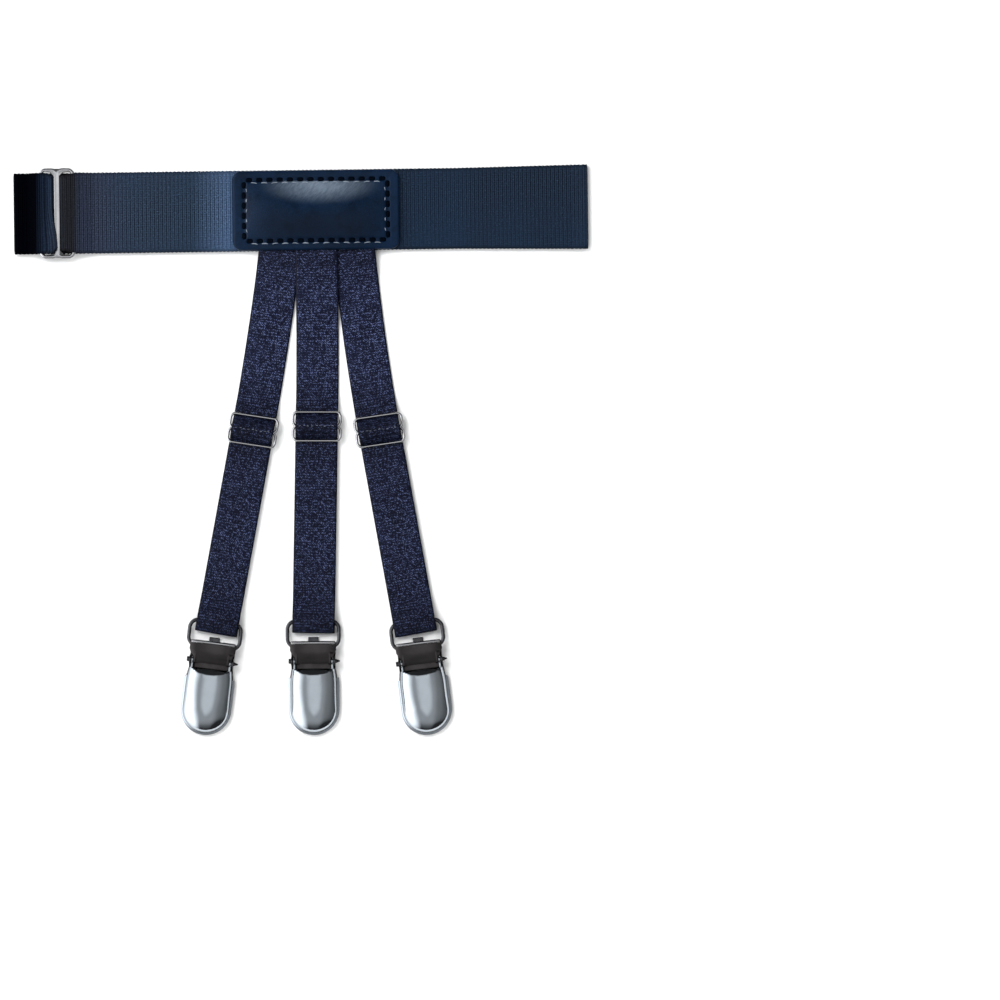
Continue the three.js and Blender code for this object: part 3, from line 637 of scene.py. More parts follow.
class STAY_OT_thigh_band(bpy.types.Operator):
    """Weaves the ribbed elastic band round its slider"""

    bl_idname = "stay.thigh_band"
    bl_label = "Thigh Band"

    def execute(self, context):
        look = settings()
        samples, length = rounded_run(BAND_RUN, look.rib_pitch / 4, closed=True)

        def place(across, along, level):
            over = drawn_over(across / MM, along / MM, level / MM) * MM
            rise = DRAWN_UP * over if along > -127 * MM else 0
            return on_band(across, along + DRAWN_ALONG * over, level + rise)

        def half_width(sample):
            zigzag = 0.1 * MM * sin(2 * pi * sample["run"] / (2 * look.rib_pitch))
            return BAND_HALF * MM * sample["width"] + zigzag

        def half_thick(sample, across):
            inside = half_width(sample) - abs(across)
            firm = FIRM_RIBS if inside < look.selvedge else 1
            rib = look.rib_height * firm * sin(2 * pi * sample["run"] / look.rib_pitch)
            groove = GROOVE_DEEP * MM if abs(inside - look.selvedge) < GROOVE_WIDE * MM else 0
            return BAND_THICK_HALF * MM + rib - groove

        band = woven_strip("thigh_band_cloth", samples, half_width, half_thick, place, 16, closed=True)
        face_outwards(band)
        dressed(band, band_material(), "thigh_band", "band")
        return {"FINISHED"}


def strap_spot(strap, along):
    """Where a strap's middle line is and which way it faces, that far down from its sewn end."""
    side = strap["side"]
    start, end = radians(strap["top"]), radians(strap["low"])
    bent = min(along, strap["to_slider"])
    turn = start + (end - start) * bent / strap["to_slider"]
    rate = (end - start) / strap["to_slider"]
    out = (cos(start) - cos(turn)) / rate + sin(end) * (along - bent)
    down = (sin(turn) - sin(start)) / rate + cos(end) * (along - bent)
    x = strap["start"] + (out * side if side else -out)
    heading = turn * side if side else -turn
    return BANDED + Vector((x, -SEWN_END - down, 0)) * MM, heading


# A strap's levels: flat on the surface, one layer up, under the patch, over its slider and over the
# wire loop; the slider's wires and how far from a wire's middle the strap's own middle passes
FLAT, UPPER, SEWN_LEVEL, HUMP, LOOPED = 0.5, 1.8, 3.5, 6.05, 3.9
LAYER = UPPER - FLAT
WIRE_LEVEL = 3.225
ROUND_WIRE = 1.684

# The run from a strap's slider to the fold round its loop, and the narrower run back underneath
TO_FOLD = 96.9
BACK_WIDTH = 0.88

# Half a strap's breadth and thickness, its thinner edge and the ridges where it humps over the slider
STRAP_HALF = 9.95
STRAP_THICK_HALF = 0.46
EDGE_WIDE, EDGE_THINNER = 1.1, 0.08
RIDGE_PITCH, RIDGE_HIGH, RIDGES_REACH = 2.1, 0.15, 4.6


def strap_run(strap):
    """A strap from its sewn end over its slider, round the wire loop and back to the slider's middle."""
    at, layer = strap["to_slider"], strap["layer"]
    sewn, settled = SEWN_LEVEL + LAYER * layer, FLAT + LAYER * layer
    fold = at + TO_FOLD
    back = BACK_WIDTH
    return [
        corner(0, sewn),
        corner(13, sewn, 8),
        corner(27, settled, 8),
        corner(38, settled, 8),
        corner(48, FLAT, 8),
        corner(at - 15.775, FLAT, 8),
        corner(at - 7.775, UPPER, 1.5),
        corner(at - 5.775, UPPER, 1.5),
        corner(at - ROUND_WIRE, HUMP, 1.5),
        corner(at + ROUND_WIRE, HUMP, 1.5),
        corner(at + 5.775, UPPER, 1.5),
        corner(at + 7.775, UPPER, 1.5),
        corner(fold - 16.7, UPPER, 8),
        corner(fold - 7.7, LOOPED, 4),
        corner(fold, LOOPED, 3),
        corner(fold, FLAT, 3),
        corner(at + 5.05, FLAT, 1.5, back),
        corner(at + 1.263, WIRE_LEVEL - ROUND_WIRE, 1.5, back),
        corner(at - ROUND_WIRE, WIRE_LEVEL - ROUND_WIRE, ROUND_WIRE, back),
        corner(at - ROUND_WIRE, WIRE_LEVEL + ROUND_WIRE, ROUND_WIRE, back),
        corner(at + ROUND_WIRE, WIRE_LEVEL + ROUND_WIRE, ROUND_WIRE, back),
        corner(at + ROUND_WIRE, WIRE_LEVEL, 1, back),
    ]


class STAY_OT_straps(bpy.types.Operator):
    """Lays the three satin straps through their sliders and wire loops"""

    bl_idname = "stay.straps"
    bl_label = "Straps"

    def execute(self, context):
        satin = strap_material()
        for name, strap in STRAPS.items():
            samples, length = rounded_run(strap_run(strap), 0.45 * MM)

            def place(across, along, level):
                spot, heading = strap_spot(strap, along / MM)
                return spot + Vector((across * cos(heading), across * sin(heading), level))

            def half_width(sample):
                return STRAP_HALF * MM * sample["width"]

            def half_thick(sample, across):
                inside = half_width(sample) - abs(across)
                from_bar = sample["at"].x / MM - strap["to_slider"]
                raised = sample["at"].y > 3.5 * MM and sample["width"] == 1
                humped = raised and abs(from_bar) < RIDGES_REACH
                ridge = RIDGE_HIGH * cos(2 * pi * from_bar / RIDGE_PITCH) if humped else 0
                thinner = EDGE_THINNER if inside < EDGE_WIDE * MM else 0
                return (STRAP_THICK_HALF + ridge - thinner) * MM

            cloth = woven_strip(name + "_strap_cloth", samples, half_width, half_thick, place, 14)
            face_outwards(cloth)
            dressed(cloth, satin, name + "_strap", "strap")
        return {"FINISHED"}


def strand_mesh(name, strands, steps=8, sides=8):
    """Short strands as one mesh; each gives its middle, half breadth and half height from -1 to 1."""
    points, faces = [], []
    for strand in strands:
        first = len(points)
        for step in range(steps + 1):
            middle, out, up = strand(2 * step / steps - 1)
            for side in range(sides):
                turn = 2 * pi * side / sides
                points.append(middle + out * cos(turn) + up * sin(turn))
        for step in range(steps):
            for side in range(sides):
                a, b = first + step * sides + side, first + step * sides + (side + 1) % sides
                faces.append((a, b, b + sides, a + sides))
        last = first + steps * sides
        faces.append(tuple(range(first, first + sides)))
        faces.append(tuple(reversed(range(last, last + sides))))
    thread = mesh_object(name, points, faces)
    face_outwards(thread)
    return thread


# Half the patch's length and breadth, its corners, its faces' levels, how far the strap ends lift it, the
# groove along its seam and its rounded rim
PATCH_HALF = (39.15, 18.7)
PATCH_CORNER = 4.4
PATCH_UNDER, PATCH_TOP = 3.0, 4.6
STRAPS_LIFT = 2.6
SEAM_DEEP, SEAM_FROM, SEAM_TO = 0.6, 0.5, 1.5
RIM_WIDE, RIM_DOWN = 1.5, 0.8

# How far in the padding swells up from the short seams, and how much a stitch's neighbours are pulled down
SWELL_IN = 11
BETWEEN_STITCHES = 0.35


def seam_box():
    """Half the length and half the breadth of the stitched rectangle."""
    look = settings()
    return PATCH_HALF[0] - look.stitch_inset / MM, PATCH_HALF[1] - look.stitch_inset_side / MM


def stitch_share(x, y):
    """1 where a stitch pulls the leather down and less between two stitches."""
    pitch = settings().stitch_pitch / MM
    half_x, half_y = seam_box()
    on_side = half_x - abs(x) < half_y - abs(y)
    run, half = (y, half_y) if on_side else (x, half_x)
    count = round(2 * half / pitch)
    at_stitch = 0.5 - 0.5 * cos(pi * (run + half) * count / half)
    return BETWEEN_STITCHES + (1 - BETWEEN_STITCHES) * at_stitch


def patch_surface(x, y):
    """How high the patch's lower and upper face are above the surface, from its middle, in mm."""
    half_x, half_y = PATCH_HALF
    lowered = smooth(abs(x), 10.3, 43.7)
    behind = smooth(y + SEWN_END, 0.3, 24)
    lift = STRAPS_LIFT * (1 - lowered) * (1 - behind)
    inside = min(half_x - abs(x), half_y - abs(y))
    sewn_x, sewn_y = seam_box()
    reach_x = min(max((sewn_x - abs(x)) / SWELL_IN, 0.0), 1.0)
    reach_y = min(max((sewn_y - abs(y)) / sewn_y, 0.0), 1.0)
    puff = settings().patch_puff / MM * (1 - (1 - reach_x) ** 2.2) * (1 - (1 - reach_y) ** 1.8)
    from_seam = min(sewn_x - abs(x), sewn_y - abs(y))
    groove = SEAM_DEEP * (1 - smooth(abs(from_seam), SEAM_FROM, SEAM_TO)) * stitch_share(x, y)
    rounded = RIM_DOWN * (1 - sqrt(1 - (1 - min(max(inside, 0.0) / RIM_WIDE, 1.0)) ** 2))
    return PATCH_UNDER + lift, PATCH_TOP + lift + puff - groove - rounded


# Half a stitch's length as a share of the pitch, and how flat its thread is pressed
STITCH_SHARE = 0.35
STITCH_FLAT = 0.45


class STAY_OT_leather_patch(bpy.types.Operator):
    """Makes the padded leather patch and the thread along its border"""

    bl_idname = "stay.leather_patch"
    bl_label = "Leather Patch"

    def execute(self, context):
        half_x, half_y = PATCH_HALF
        columns, rows = 132, 64
        points, faces = [], []
        for top in (True, False):
            for row in range(rows + 1):
                v = 2 * row / rows - 1
                y = half_y * (0.6 * v + 0.4 * sin(pi / 2 * v))
                in_corner = min(max(abs(y) - (half_y - PATCH_CORNER), 0), PATCH_CORNER)
                row_half = half_x - PATCH_CORNER + sqrt(PATCH_CORNER**2 - in_corner**2)
                for column in range(columns + 1):
                    u = 2 * column / columns - 1
                    x = row_half * (0.7 * u + 0.3 * sin(pi / 2 * u))
                    low, high = patch_surface(x * half_x / row_half, y)
                    points.append(on_band(y * MM, x * MM, (high if top else low) * MM))
        width = columns + 1
        under = width * (rows + 1)
        for row in range(rows):
            for column in range(columns):
                a = row * width + column
                faces.append((a, a + 1, a + width + 1, a + width))
                faces.append((under + a, under + a + width, under + a + width + 1, under + a + 1))
        rim = list(range(width))
        rim += [row * width + columns for row in range(1, rows + 1)]
        rim += [rows * width + column for column in range(columns - 1, -1, -1)]
        rim += [row * width for row in range(rows - 1, 0, -1)]
        for a, b in zip(rim, rim[1:] + rim[:1]):
            faces.append((a, under + a, under + b, b))
        hide = mesh_object("leather_patch_hide", points, faces)
        face_outwards(hide)
        dressed(hide, leather_material(), "leather_patch", "leather")
        self.sew()
        return {"FINISHED"}

    def sew(self):
        """Thick stitches that dip into the leather, and painted glints on the pinched leather between
        them.
        """
        look = settings()
        pitch = look.stitch_pitch / MM
        half_x, half_y = seam_box()
        stitches, painted_leather_glints = [], []
        for half, other, flat in ((half_x, half_y, True), (half_y, half_x, False)):
            count = round(2 * half / pitch)
            for sign in (-1, 1):
                for i in range(2 * count + 1):
                    run = i * half / count - half
                    edge = other * sign
                    if i % 2:
                        stitches.append(self.stitch(run, edge, flat, pitch))
                    elif 0 < i < 2 * count:
                        below = -1.25 if flat else -1.15 * sign
                        painted_leather_glints.append(self.pinch(run, edge + below, flat, i))
        thread = strand_mesh("patch_stitches", stitches, 10)
        dressed(thread, thread_material(), None, "leather")
        # painted glints: pale strokes that stand in for light caught on the leather between stitches
        shine = strand_mesh("patch_pinches", painted_leather_glints, 6, 6)
        pale = shared("pinched_leather", stitch_material, PAINTED_GLINT_TONE)
        dressed(shine, pale, None, "leather")

    def stitch(self, run, edge, flat, pitch):
        half_thick = settings().stitch_thick / 2

        def section(share):
            at = run + share * pitch * STITCH_SHARE
            x, y = (at, edge) if flat else (edge, at)
            thick = half_thick * sqrt(max(1 - abs(share) ** 3, 0.03))
            level = patch_surface(x, y)[1] + 0.14 - 0.45 * share**4
            up = Vector((0, 0, thick * STITCH_FLAT))
            return on_band(y * MM, x * MM, level * MM), turned_out(flat) * thick, up

        return section

    def pinch(self, run, edge, flat, index):
        lean = 0.2 * sin(index * 2.4)
        half_long = 1.5 if flat else 0.8

        def section(share):
            at = run + share * half_long
            off = edge + share * lean - (0.25 * share**2 if flat else 0)
            x, y = (at, off) if flat else (off, at)
            thick = (0.26 + 0.06 * sin(index * 1.7)) * MM * sqrt(max(1 - share**2, 0.05))
            level = patch_surface(x, y)[1] + 0.05
            return on_band(y * MM, x * MM, level * MM), turned_out(flat) * thick, Vector((0, 0, thick))

        return section


def turned_out(flat):
    """The way across a stitch: across the band on its long seams and along it on the short ones."""
    return on_band(*((1, 0) if flat else (0, 1)), 0) - BANDED


# Metal pieces, modelled in their own frames and then put in place
def pick(piece, wanted):
    """Opens the piece for editing with only the points that pass selected."""
    if bpy.context.mode != "OBJECT":
        bpy.ops.object.mode_set(mode="OBJECT")
    select_only(piece)
    mesh = piece.data
    for parts in (mesh.vertices, mesh.edges, mesh.polygons):
        parts.foreach_set("select", [False] * len(parts))
    for vertex in mesh.vertices:
        vertex.select = bool(wanted(vertex.co / MM))
    bpy.ops.object.mode_set(mode="EDIT")
    bpy.ops.mesh.select_mode(type="VERT")


def close(piece):
    if bpy.context.mode != "OBJECT":
        bpy.ops.object.mode_set(mode="OBJECT")
    return piece


def resized(piece, wanted, value, centre=(0, 0, 0)):
    """Scales the points that pass from a centre given in mm, and closes the piece."""
    pick(piece, wanted)
    bpy.ops.transform.resize(value=value, center_override=Vector(centre) * MM)
    return close(piece)


def bisected(piece, axis, place, level=0.0, clear=False):
    """Cuts the whole piece across x (0) or y (1) at that place; clear drops what lies beyond."""
    pick(piece, lambda at: True)
    point, normal = Vector((0, 0, level)), Vector((0, 0, 0))
    point[axis], normal[axis] = place, 1
    bpy.ops.mesh.bisect(plane_co=point * MM, plane_no=normal, clear_outer=clear)
    return close(piece)


def named(piece, name):
    piece.name = name
    piece.data.name = name
    return piece


def started(name):
    return named(bpy.context.active_object, name)


def modified(piece, kind, **values):
    close(piece)
    select_only(piece)
    modifier = piece.modifiers.new(kind.lower(), kind)
    for name, value in values.items():
        setattr(modifier, name, value)
    bpy.ops.object.modifier_apply(modifier=modifier.name)
    return piece


def softened(piece, width, segments=3):
    real_edges = {"limit_method": "ANGLE", "angle_limit": radians(35)}
    return modified(piece, "BEVEL", width=width * MM, segments=segments, **real_edges)


def block(size, centre, edge=0.15):
    """A plate or bar of that size, its edges broken."""
    bpy.ops.object.select_all(action="DESELECT")
    bpy.ops.mesh.primitive_cube_add(size=MM, location=Vector(centre) * MM)
    piece = started("block")
    bpy.ops.transform.resize(value=size)
    bpy.ops.object.transform_apply()
    return softened(piece, edge) if edge else piece


def rod(radius, start, end, centre, edge=0.15, end_radius=None):
    """A round bar along x from start to end; centre is its y and z."""
    bpy.ops.object.select_all(action="DESELECT")
    place = Vector(((start + end) / 2, *centre)) * MM
    last = (radius if end_radius is None else end_radius) * MM
    bpy.ops.mesh.primitive_cone_add(
        vertices=32,
        radius1=radius * MM,
        radius2=last,
        depth=(end - start) * MM,
        location=place,
        rotation=(0, pi / 2, 0),
    )
    piece = started("rod")
    bpy.ops.object.transform_apply()
    return softened(piece, edge, 2) if edge else piece


def rounded_ring(half_x, half_y, bend, wire, centre=(0, 0, 0), flatten=1.0):
    """A wire bent into a rectangle with rounded corners; the sizes are to the wire's middle."""
    bpy.ops.object.select_all(action="DESELECT")
    bpy.ops.mesh.primitive_torus_add(
        major_segments=48, minor_segments=16, major_radius=bend * MM, minor_radius=wire * MM / 2
    )
    piece = started("ring")
    for axis, half in ((0, half_x), (1, half_y)):
        for sign in (1, -1):
            pick(piece, lambda at: at[axis] * sign > 0.001)
            move = [0.0, 0.0, 0.0]
            move[axis] = sign * (half - bend) * MM
            bpy.ops.transform.translate(value=move)
    pick(piece, lambda at: True)
    bpy.ops.transform.resize(value=(1, 1, flatten), center_override=(0, 0, 0))
    bpy.ops.transform.translate(value=Vector(centre) * MM)
    return close(piece)


def joined(name, *pieces):
    select_only(*pieces)
    bpy.ops.object.join()
    return started(name)


def united(name, piece, *others):
    """One closed solid from several that cross each other."""
    for other in others:
        combined(piece, other, "UNION")
    return named(piece, name)


def cut_out(piece, tool):
    return combined(piece, tool, "DIFFERENCE")


def combined(piece, other, operation):
    modified(piece, "BOOLEAN", operation=operation, solver="EXACT", object=other)
    bpy.data.objects.remove(other)
    return piece


def frame_at(x, y, turn):
    """The frame of a piece whose middle is at x and y, in mm, and that is turned by so many degrees."""
    return Matrix.Translation(Vector((x, y, 0)) * MM) @ Matrix.Rotation(radians(turn), 4, "Z")


def seated(piece, place, angle=35):
    """Puts a piece that was made in its own frame into the stay, smooth but for its real edges."""
    piece.data.transform(place)
    select_only(piece)
    bpy.ops.object.shade_smooth_by_angle(angle=radians(angle))
    return piece


def copied(piece, name):
    twin = piece.copy()
    twin.data = piece.data.copy()
    bpy.context.scene.collection.objects.link(twin)
    return named(twin, name)


# Where the band slider sits along the band, how high, and how far from its middle its bar flares out
SLIDER_AT = -121.5
SLIDER_LEVEL = 3.7
FLARE_AT = 18.75


class STAY_OT_band_slider(bpy.types.Operator):
    """Models the band's slider: two rounded slots beside a flat middle bar"""

    bl_idname = "stay.band_slider"
    bl_label = "Band Slider"

    def execute(self, context):
        level, slot_half = SLIDER_LEVEL, 3.85
        middles = [(side * slot_half, 0, level) for side in (-1, 1)]
        parts = [rounded_ring(slot_half, 20.4, 2.7, 1.7, middle, 1.4 / 1.7) for middle in middles]
        for end in (-1, 1):
            flare = block((8.4, 2.9, 1.2), (0, end * FLARE_AT, level), 0)
            resized(flare, lambda at: at.y * end < FLARE_AT, (0.31, 1, 1))
            parts.append(softened(flare, 0.35))
            parts.append(block((11.2, 1.6, 1.25), (0, end * 20.1, level), 0.4))
        bar = block((2.7, 39.6, 1.3), (0, 0, level), 0.4)
        slider = united("band_slider_frame", bar, *parts)
        place = on_band(0, SLIDER_AT * MM, 0) / MM
        seated(slider, frame_at(place.x, place.y, degrees(BAND_TILT)), 50)
        dressed(slider, metal("nickel"), "band_slider", "slider")
        return {"FINISHED"}


class STAY_OT_strap_sliders(bpy.types.Operator):
    """Models a wire slider once and puts a copy on each strap"""

    bl_idname = "stay.strap_sliders"
    bl_label = "Strap Sliders"

    def execute(self, context):
        rings = [rounded_ring(11.1, 3.4, 2.3, 1.25, (0, side * 3.36, WIRE_LEVEL)) for side in (-1, 1)]
        pattern = united("strap_slider", *rings)
        for name, spot in SLIDERS.items():
            place = frame_at(*spot)
            wire = seated(copied(pattern, name + "_strap_slider_wire"), place, 60)
            dressed(wire, metal("nickel"), name + "_strap_slider", "slider")
            self.stitches(name, place)
        bpy.data.objects.remove(pattern)
        return {"FINISHED"}

    def stitches(self, name, place):
        """A row of short pale stitches across the strap where it humps over the slider."""
        across = place.to_3x3() @ Vector((0, 1, 0))
        count = 9

        def stitch(index):
            middle = (index - (count - 1) / 2) * 1.95 + 0.25 * sin(index * 2.1)

            def section(share):
                thick = (0.11 + 0.04 * sin(index * 3.3)) * MM * sqrt(max(1 - share**4, 0.05))
                wave = 0.2 + 0.18 * sin(index * 1.9 + share)
                spot = Vector((middle + 0.6 * share, wave, 6.68 - 0.2 * share**4))
                return place @ (spot * MM), across * thick, Vector((0, 0, thick))

            return section

        thread = strand_mesh(name + "_strap_stitches", [stitch(index) for index in range(count)], 6, 6)
        dressed(thread, shared("slider_thread", stitch_material, THREAD_TONE), None, "strap")


# How high the wire loops lie, to the wire's middle
LOOP_LEVEL = 2.2


class STAY_OT_wire_loops(bpy.types.Operator):
    """Bends the wire loop that joins a strap to its clip, once for all three"""

    bl_idname = "stay.wire_loops"
    bl_label = "Wire Loops"

    def execute(self, context):
        pattern = rounded_ring(12.1, 6.1, 4, 1.8, (0, 6.1, LOOP_LEVEL))
        for name, spot in CLIPS.items():
            loop = seated(copied(pattern, name + "_wire_loop_bent"), frame_at(*spot), 60)
            dressed(loop, metal("gunmetal"), name + "_wire_loop", "loop_wire")
        bpy.data.objects.remove(pattern)
        return {"FINISHED"}


# The clip's own frame has the loop's lower bar at the origin. The pivot is given by its y and z, and
# the round tip's middle, the shoulders, the top of the plate's broad part and the teeth by their y
PIVOT = (-6.6, 4.2)
TIP_CENTRE = -29.4
SHOULDER = -15.3
BROAD_TOP = -10.3
TEETH = -36.6

# The clip's sheet metal, the pin and the round cheeks on it, and the level of the lever and the cover
SHEET = 0.8
PIN, CHEEK = 0.7, 1.7
LEVER_LEVEL = 6.2
COVER_LEVEL = 1.9

# The clip's pieces by their half breadths: the base's plate and its neck, and the cover and its arch
BASE_HALF, BASE_NECK = 11.2, 10.4
COVER_HALF, ARCH_HALF = 12, 10.2


def bullet_outline(half, shoulder, top, neck):
    """A round tip with straight sides and narrower shoulders, as one flat face."""
    bpy.ops.object.select_all(action="DESELECT")
    bpy.ops.mesh.primitive_circle_add(vertices=56, radius=half * MM, location=(0, TIP_CENTRE * MM, 0))
    piece = started("outline")
    bpy.ops.object.transform_apply()
    pick(piece, lambda at: at.y > TIP_CENTRE + 0.01)
    bpy.ops.mesh.delete(type="VERT")
    rise = (shoulder - TIP_CENTRE) / 3
    for share in range(3):
        pick(piece, lambda at: abs(abs(at.x) - half) < 0.01 and at.y > TIP_CENTRE - 0.01 + rise * share)
        bpy.ops.mesh.extrude_region_move(TRANSFORM_OT_translate={"value": (0, rise * MM, 0)})
    bpy.ops.mesh.extrude_region_move(TRANSFORM_OT_translate={"value": (0, (top - shoulder) * MM, 0)})
    bpy.ops.transform.resize(value=(neck / half, 1, 1), center_override=(0, 0, 0))
    pick(piece, lambda at: True)
    bpy.ops.mesh.edge_face_add()
    bpy.ops.mesh.normals_make_consistent(inside=False)
    close(piece)
    if piece.data.polygons[0].normal.z < 0:
        piece.data.flip_normals()
    return piece


def both_ways(piece):
    """The piece on the right and its mirror image on the left."""
    twin = copied(piece, piece.name)
    twin.data.transform(Matrix.Scale(-1, 4, (1, 0, 0)))
    twin.data.flip_normals()
    return [twin, piece]


def clip_base():
    """A plate with a rolled end for the loop, two ears with the pin between, and a row of teeth."""
    plate = bullet_outline(BASE_HALF, SHOULDER, BROAD_TOP, BASE_NECK)
    pick(plate, lambda at: at.y > BROAD_TOP - 0.01)
    bpy.ops.mesh.extrude_region_move(TRANSFORM_OT_translate={"value": (0, -BROAD_TOP * MM, 0)})
    close(plate)
    if len(plate.data.polygons) < 2:
        raise RuntimeError("the base's plate has lost its upper part")
    modified(plate, "SOLIDIFY", thickness=SHEET * MM, offset=1)
    softened(plate, 0.15)
    rest = [block((4.9, 9.2, SHEET), (0, 0, SHEET / 2), 0.3)]
    foot = block((SHEET, 7.4, 3.9), (10, -6.9, 2.15))
    resized(foot, lambda at: at.z > 2.2, (1, 0.58, 1), (0, -6.6, 0))
    for ear, web in zip(both_ways(rod(2.2, 9.6, 10.4, PIVOT)), both_ways(foot)):
        rest += [ear, web]
    rest.append(rod(PIN, -BASE_NECK, BASE_NECK, PIVOT, 0))
    rest.append(rod(1.2, -11.6, -10.1, PIVOT, 0.35))
    rest.append(rod(1.2, 10.1, 12.6, PIVOT, 0.2, end_radius=0.25))
    tube = rod(2.0, -8.2, 8.2, (0, LOOP_LEVEL))
    rest.append(cut_out(tube, rod(1.2, -9, 9, (0, LOOP_LEVEL), 0)))
    rest.append(block((14, 1.2, 1.6), (0, TEETH, 0.8), 0.2))
    for across in range(-6, 7, 2):
        tooth = block((1.2, 1.2, 1.1), (across, TEETH, 2.0), 0)
        rest.append(resized(tooth, lambda at: at.z > 2.0, (0.25, 0.5, 1), (across, TEETH, 0)))
    for piece in rest:
        coated(piece, metal("gunmetal"))
    return joined("clip_base", coated(plate, metal("dark_plate")), *rest)


def cheek(start):
    """A round plate on the pin, on which a lever or a cover turns."""
    return rod(CHEEK, start, start + SHEET, PIVOT, 0.12)


# The lever's narrower stretches as places and shares of its breadth, the cuts that let it bend, and how
# far its middle is crowned and its lower edge falls
LEVER_OUTLINE = ((2.8, 0.95), (-3.2, 0.93), (-4.9, 0.775), (-6.2, 0.765), (-7.6, 0.755))
LEVER_ROWS = (2.0, 0.2, -1.5, -3.2, -4.9, -6.2)
LEVER_COLUMNS = (-7.5, -5, -2.5, 0, 2.5, 5, 7.5)
LEVER_CROWN, LEVER_FALL = 0.7, 1.1


def clip_lever():
    """A bent plate over the pivot: a rolled top edge, sloping sides, a side notch and two cheeks."""
    bpy.ops.object.select_all(action="DESELECT")
    bpy.ops.mesh.primitive_plane_add(size=2 * MM, location=(0, -2.4 * MM, LEVER_LEVEL * MM))
    plate = started("lever")
    bpy.ops.transform.resize(value=(10.7, 5.2, 1))
    bpy.ops.object.transform_apply()
    for row in LEVER_ROWS:
        bisected(plate, 1, row, LEVER_LEVEL)
    for row, share in LEVER_OUTLINE:
        resized(plate, lambda at: abs(at.y - row) < 0.05, (share, 1, 1), (0, 0, LEVER_LEVEL))
    for column in LEVER_COLUMNS:
        bisected(plate, 0, column, LEVER_LEVEL)
    for vertex in plate.data.vertices:
        across, down = vertex.co.x / MM / 9, smooth(-vertex.co.y / MM, 2.6, 8.2)
        vertex.co.z -= (LEVER_CROWN * across * across + LEVER_FALL * down) * MM
    modified(plate, "SOLIDIFY", thickness=0.7 * MM, offset=1)
    cut_out(plate, block((2.4, 3.0, 3), (9.2, -4.0, 6.3), 0.25))
    softened(plate, 0.18)
    rest = [coated(rod(0.8, -10.2, 10.2, (2.1, 6.45), 0.3), metal("nickel"))]
    for start in (7.4, -8.2):
        web = block((SHEET, 5.4, 3.2), (start + SHEET / 2, -5.0, 4.8), 0.12)
        resized(web, lambda at: at.z < 4, (1, 0.55, 1), (0, -6.4, 0))
        rest += [coated(side, metal("dark_plate")) for side in (cheek(start), web)]
    return joined("clip_lever", coated(plate, metal("dark_plate")), *rest)


# The cover's rim as steps inwards and up, then its crown as shares of its breadth and length, and rises
COVER_RIM = ((1.0, 0.28), (0.12, 0.1), (0.15, 0.82), (0.4, 0.95), (0.85, 1.0), (1.2, 0.85))
COVER_CROWN = ((0.775, 0.87, 0.7), (0.525, 0.72, 0.48), (0.25, 0.56, 0.24), (0.06, 0.45, 0.04))
CROWN_CENTRE = -22.5

# How much the crown narrows towards the tip, how far its upper edge bulges in an arc and dips there
CROWN_TAPER = 0.22
ARC_BULGE, ARC_DIP = 2.4, 1.9


def clip_cover():
    """A pressed shell: an arch open at its top edge, a long rounded crown and a sloping rim."""
    shell = bullet_outline(COVER_HALF, SHOULDER, -3, ARCH_HALF)
    shell.data.transform(Matrix.Translation((0, 0, COVER_LEVEL * MM)))
    pick(shell, lambda at: True)
    for inwards, rise in COVER_RIM:
        bpy.ops.mesh.inset(thickness=inwards * MM, depth=0)
        bpy.ops.transform.translate(value=(0, 0, rise * MM))
    half, long = 1.0, 1.0
    for wide, tall, rise in COVER_CROWN:
        bpy.ops.mesh.extrude_region_move(TRANSFORM_OT_translate={"value": (0, 0, rise * MM)})
        centre = (0, CROWN_CENTRE * MM, 0)
        bpy.ops.transform.resize(value=(wide / half, tall / long, 1), center_override=centre)
        half, long = wide, tall
    bisected(shell, 1, -12.6)
    bisected(shell, 1, BROAD_TOP, clear=True)
    modified(shell, "SUBSURF", levels=2, render_levels=2)
    for vertex in shell.data.vertices:
        crown = smooth(vertex.co.z / MM - COVER_LEVEL, 0.6, 5) * smooth(-vertex.co.y / MM, 20, 38)
        vertex.co.x *= 1 - CROWN_TAPER * crown
        bulge = ARC_BULGE * max(1 - (vertex.co.x / (9 * MM)) ** 2, 0)
        down = smooth(vertex.co.y / MM, -10.8 - bulge, -9.4)
        height = vertex.co.z / MM - COVER_LEVEL
        vertex.co.z -= ARC_DIP * down * min(height / 4, 1) * MM
    modified(shell, "SOLIDIFY", thickness=SHEET * MM, offset=-1)
    for sign in (-1, 1):
        cut_out(shell, block((3, 7, 3), (sign * 10.75, -11, 1.6), 0))
    softened(shell, 0.12, 2)
    rest = []
    for start in (8.5, -9.3):
        rest += [cheek(start), block((SHEET, 4.6, 1.6), (start + SHEET / 2, -9.0, 3.6), 0.12)]
    return joined("clip_cover", shell, *rest)


class STAY_OT_clips(bpy.types.Operator):
    """Models one clip of base, lever and domed cover, and hangs a copy from each wire loop"""

    bl_idname = "stay.clips"
    bl_label = "Clips"

    def execute(self, context):
        patterns = (
            (clip_base(), "base", "clip_plate", None, "clip"),
            (clip_lever(), "lever", "clip_plate", None, "lever"),
            (clip_cover(), "cover", "clip_cover", metal("chrome"), "jaw"),
        )
        for pattern, part, slot, plating, body in patterns:
            for name, spot in CLIPS.items():
                piece = seated(copied(pattern, f"{name}_clip_{part}_metal"), frame_at(*spot))
                dressed(piece, plating, f"{name}_clip_{part}", slot, f"{name}_{body}")
            bpy.data.objects.remove(pattern)
        return {"FINISHED"}


# Each lamp's place, size and power, all aimed at the stay's middle and unseen in the metal
LAMPS = (
    ("key", (-0.9, 0.9, 1.6), 1.0, 34),
    ("fill", (1.2, 0.9, 1.5), 0.9, 14),
    ("low", (-0.3, -1.4, 1.2), 0.9, 14),
)

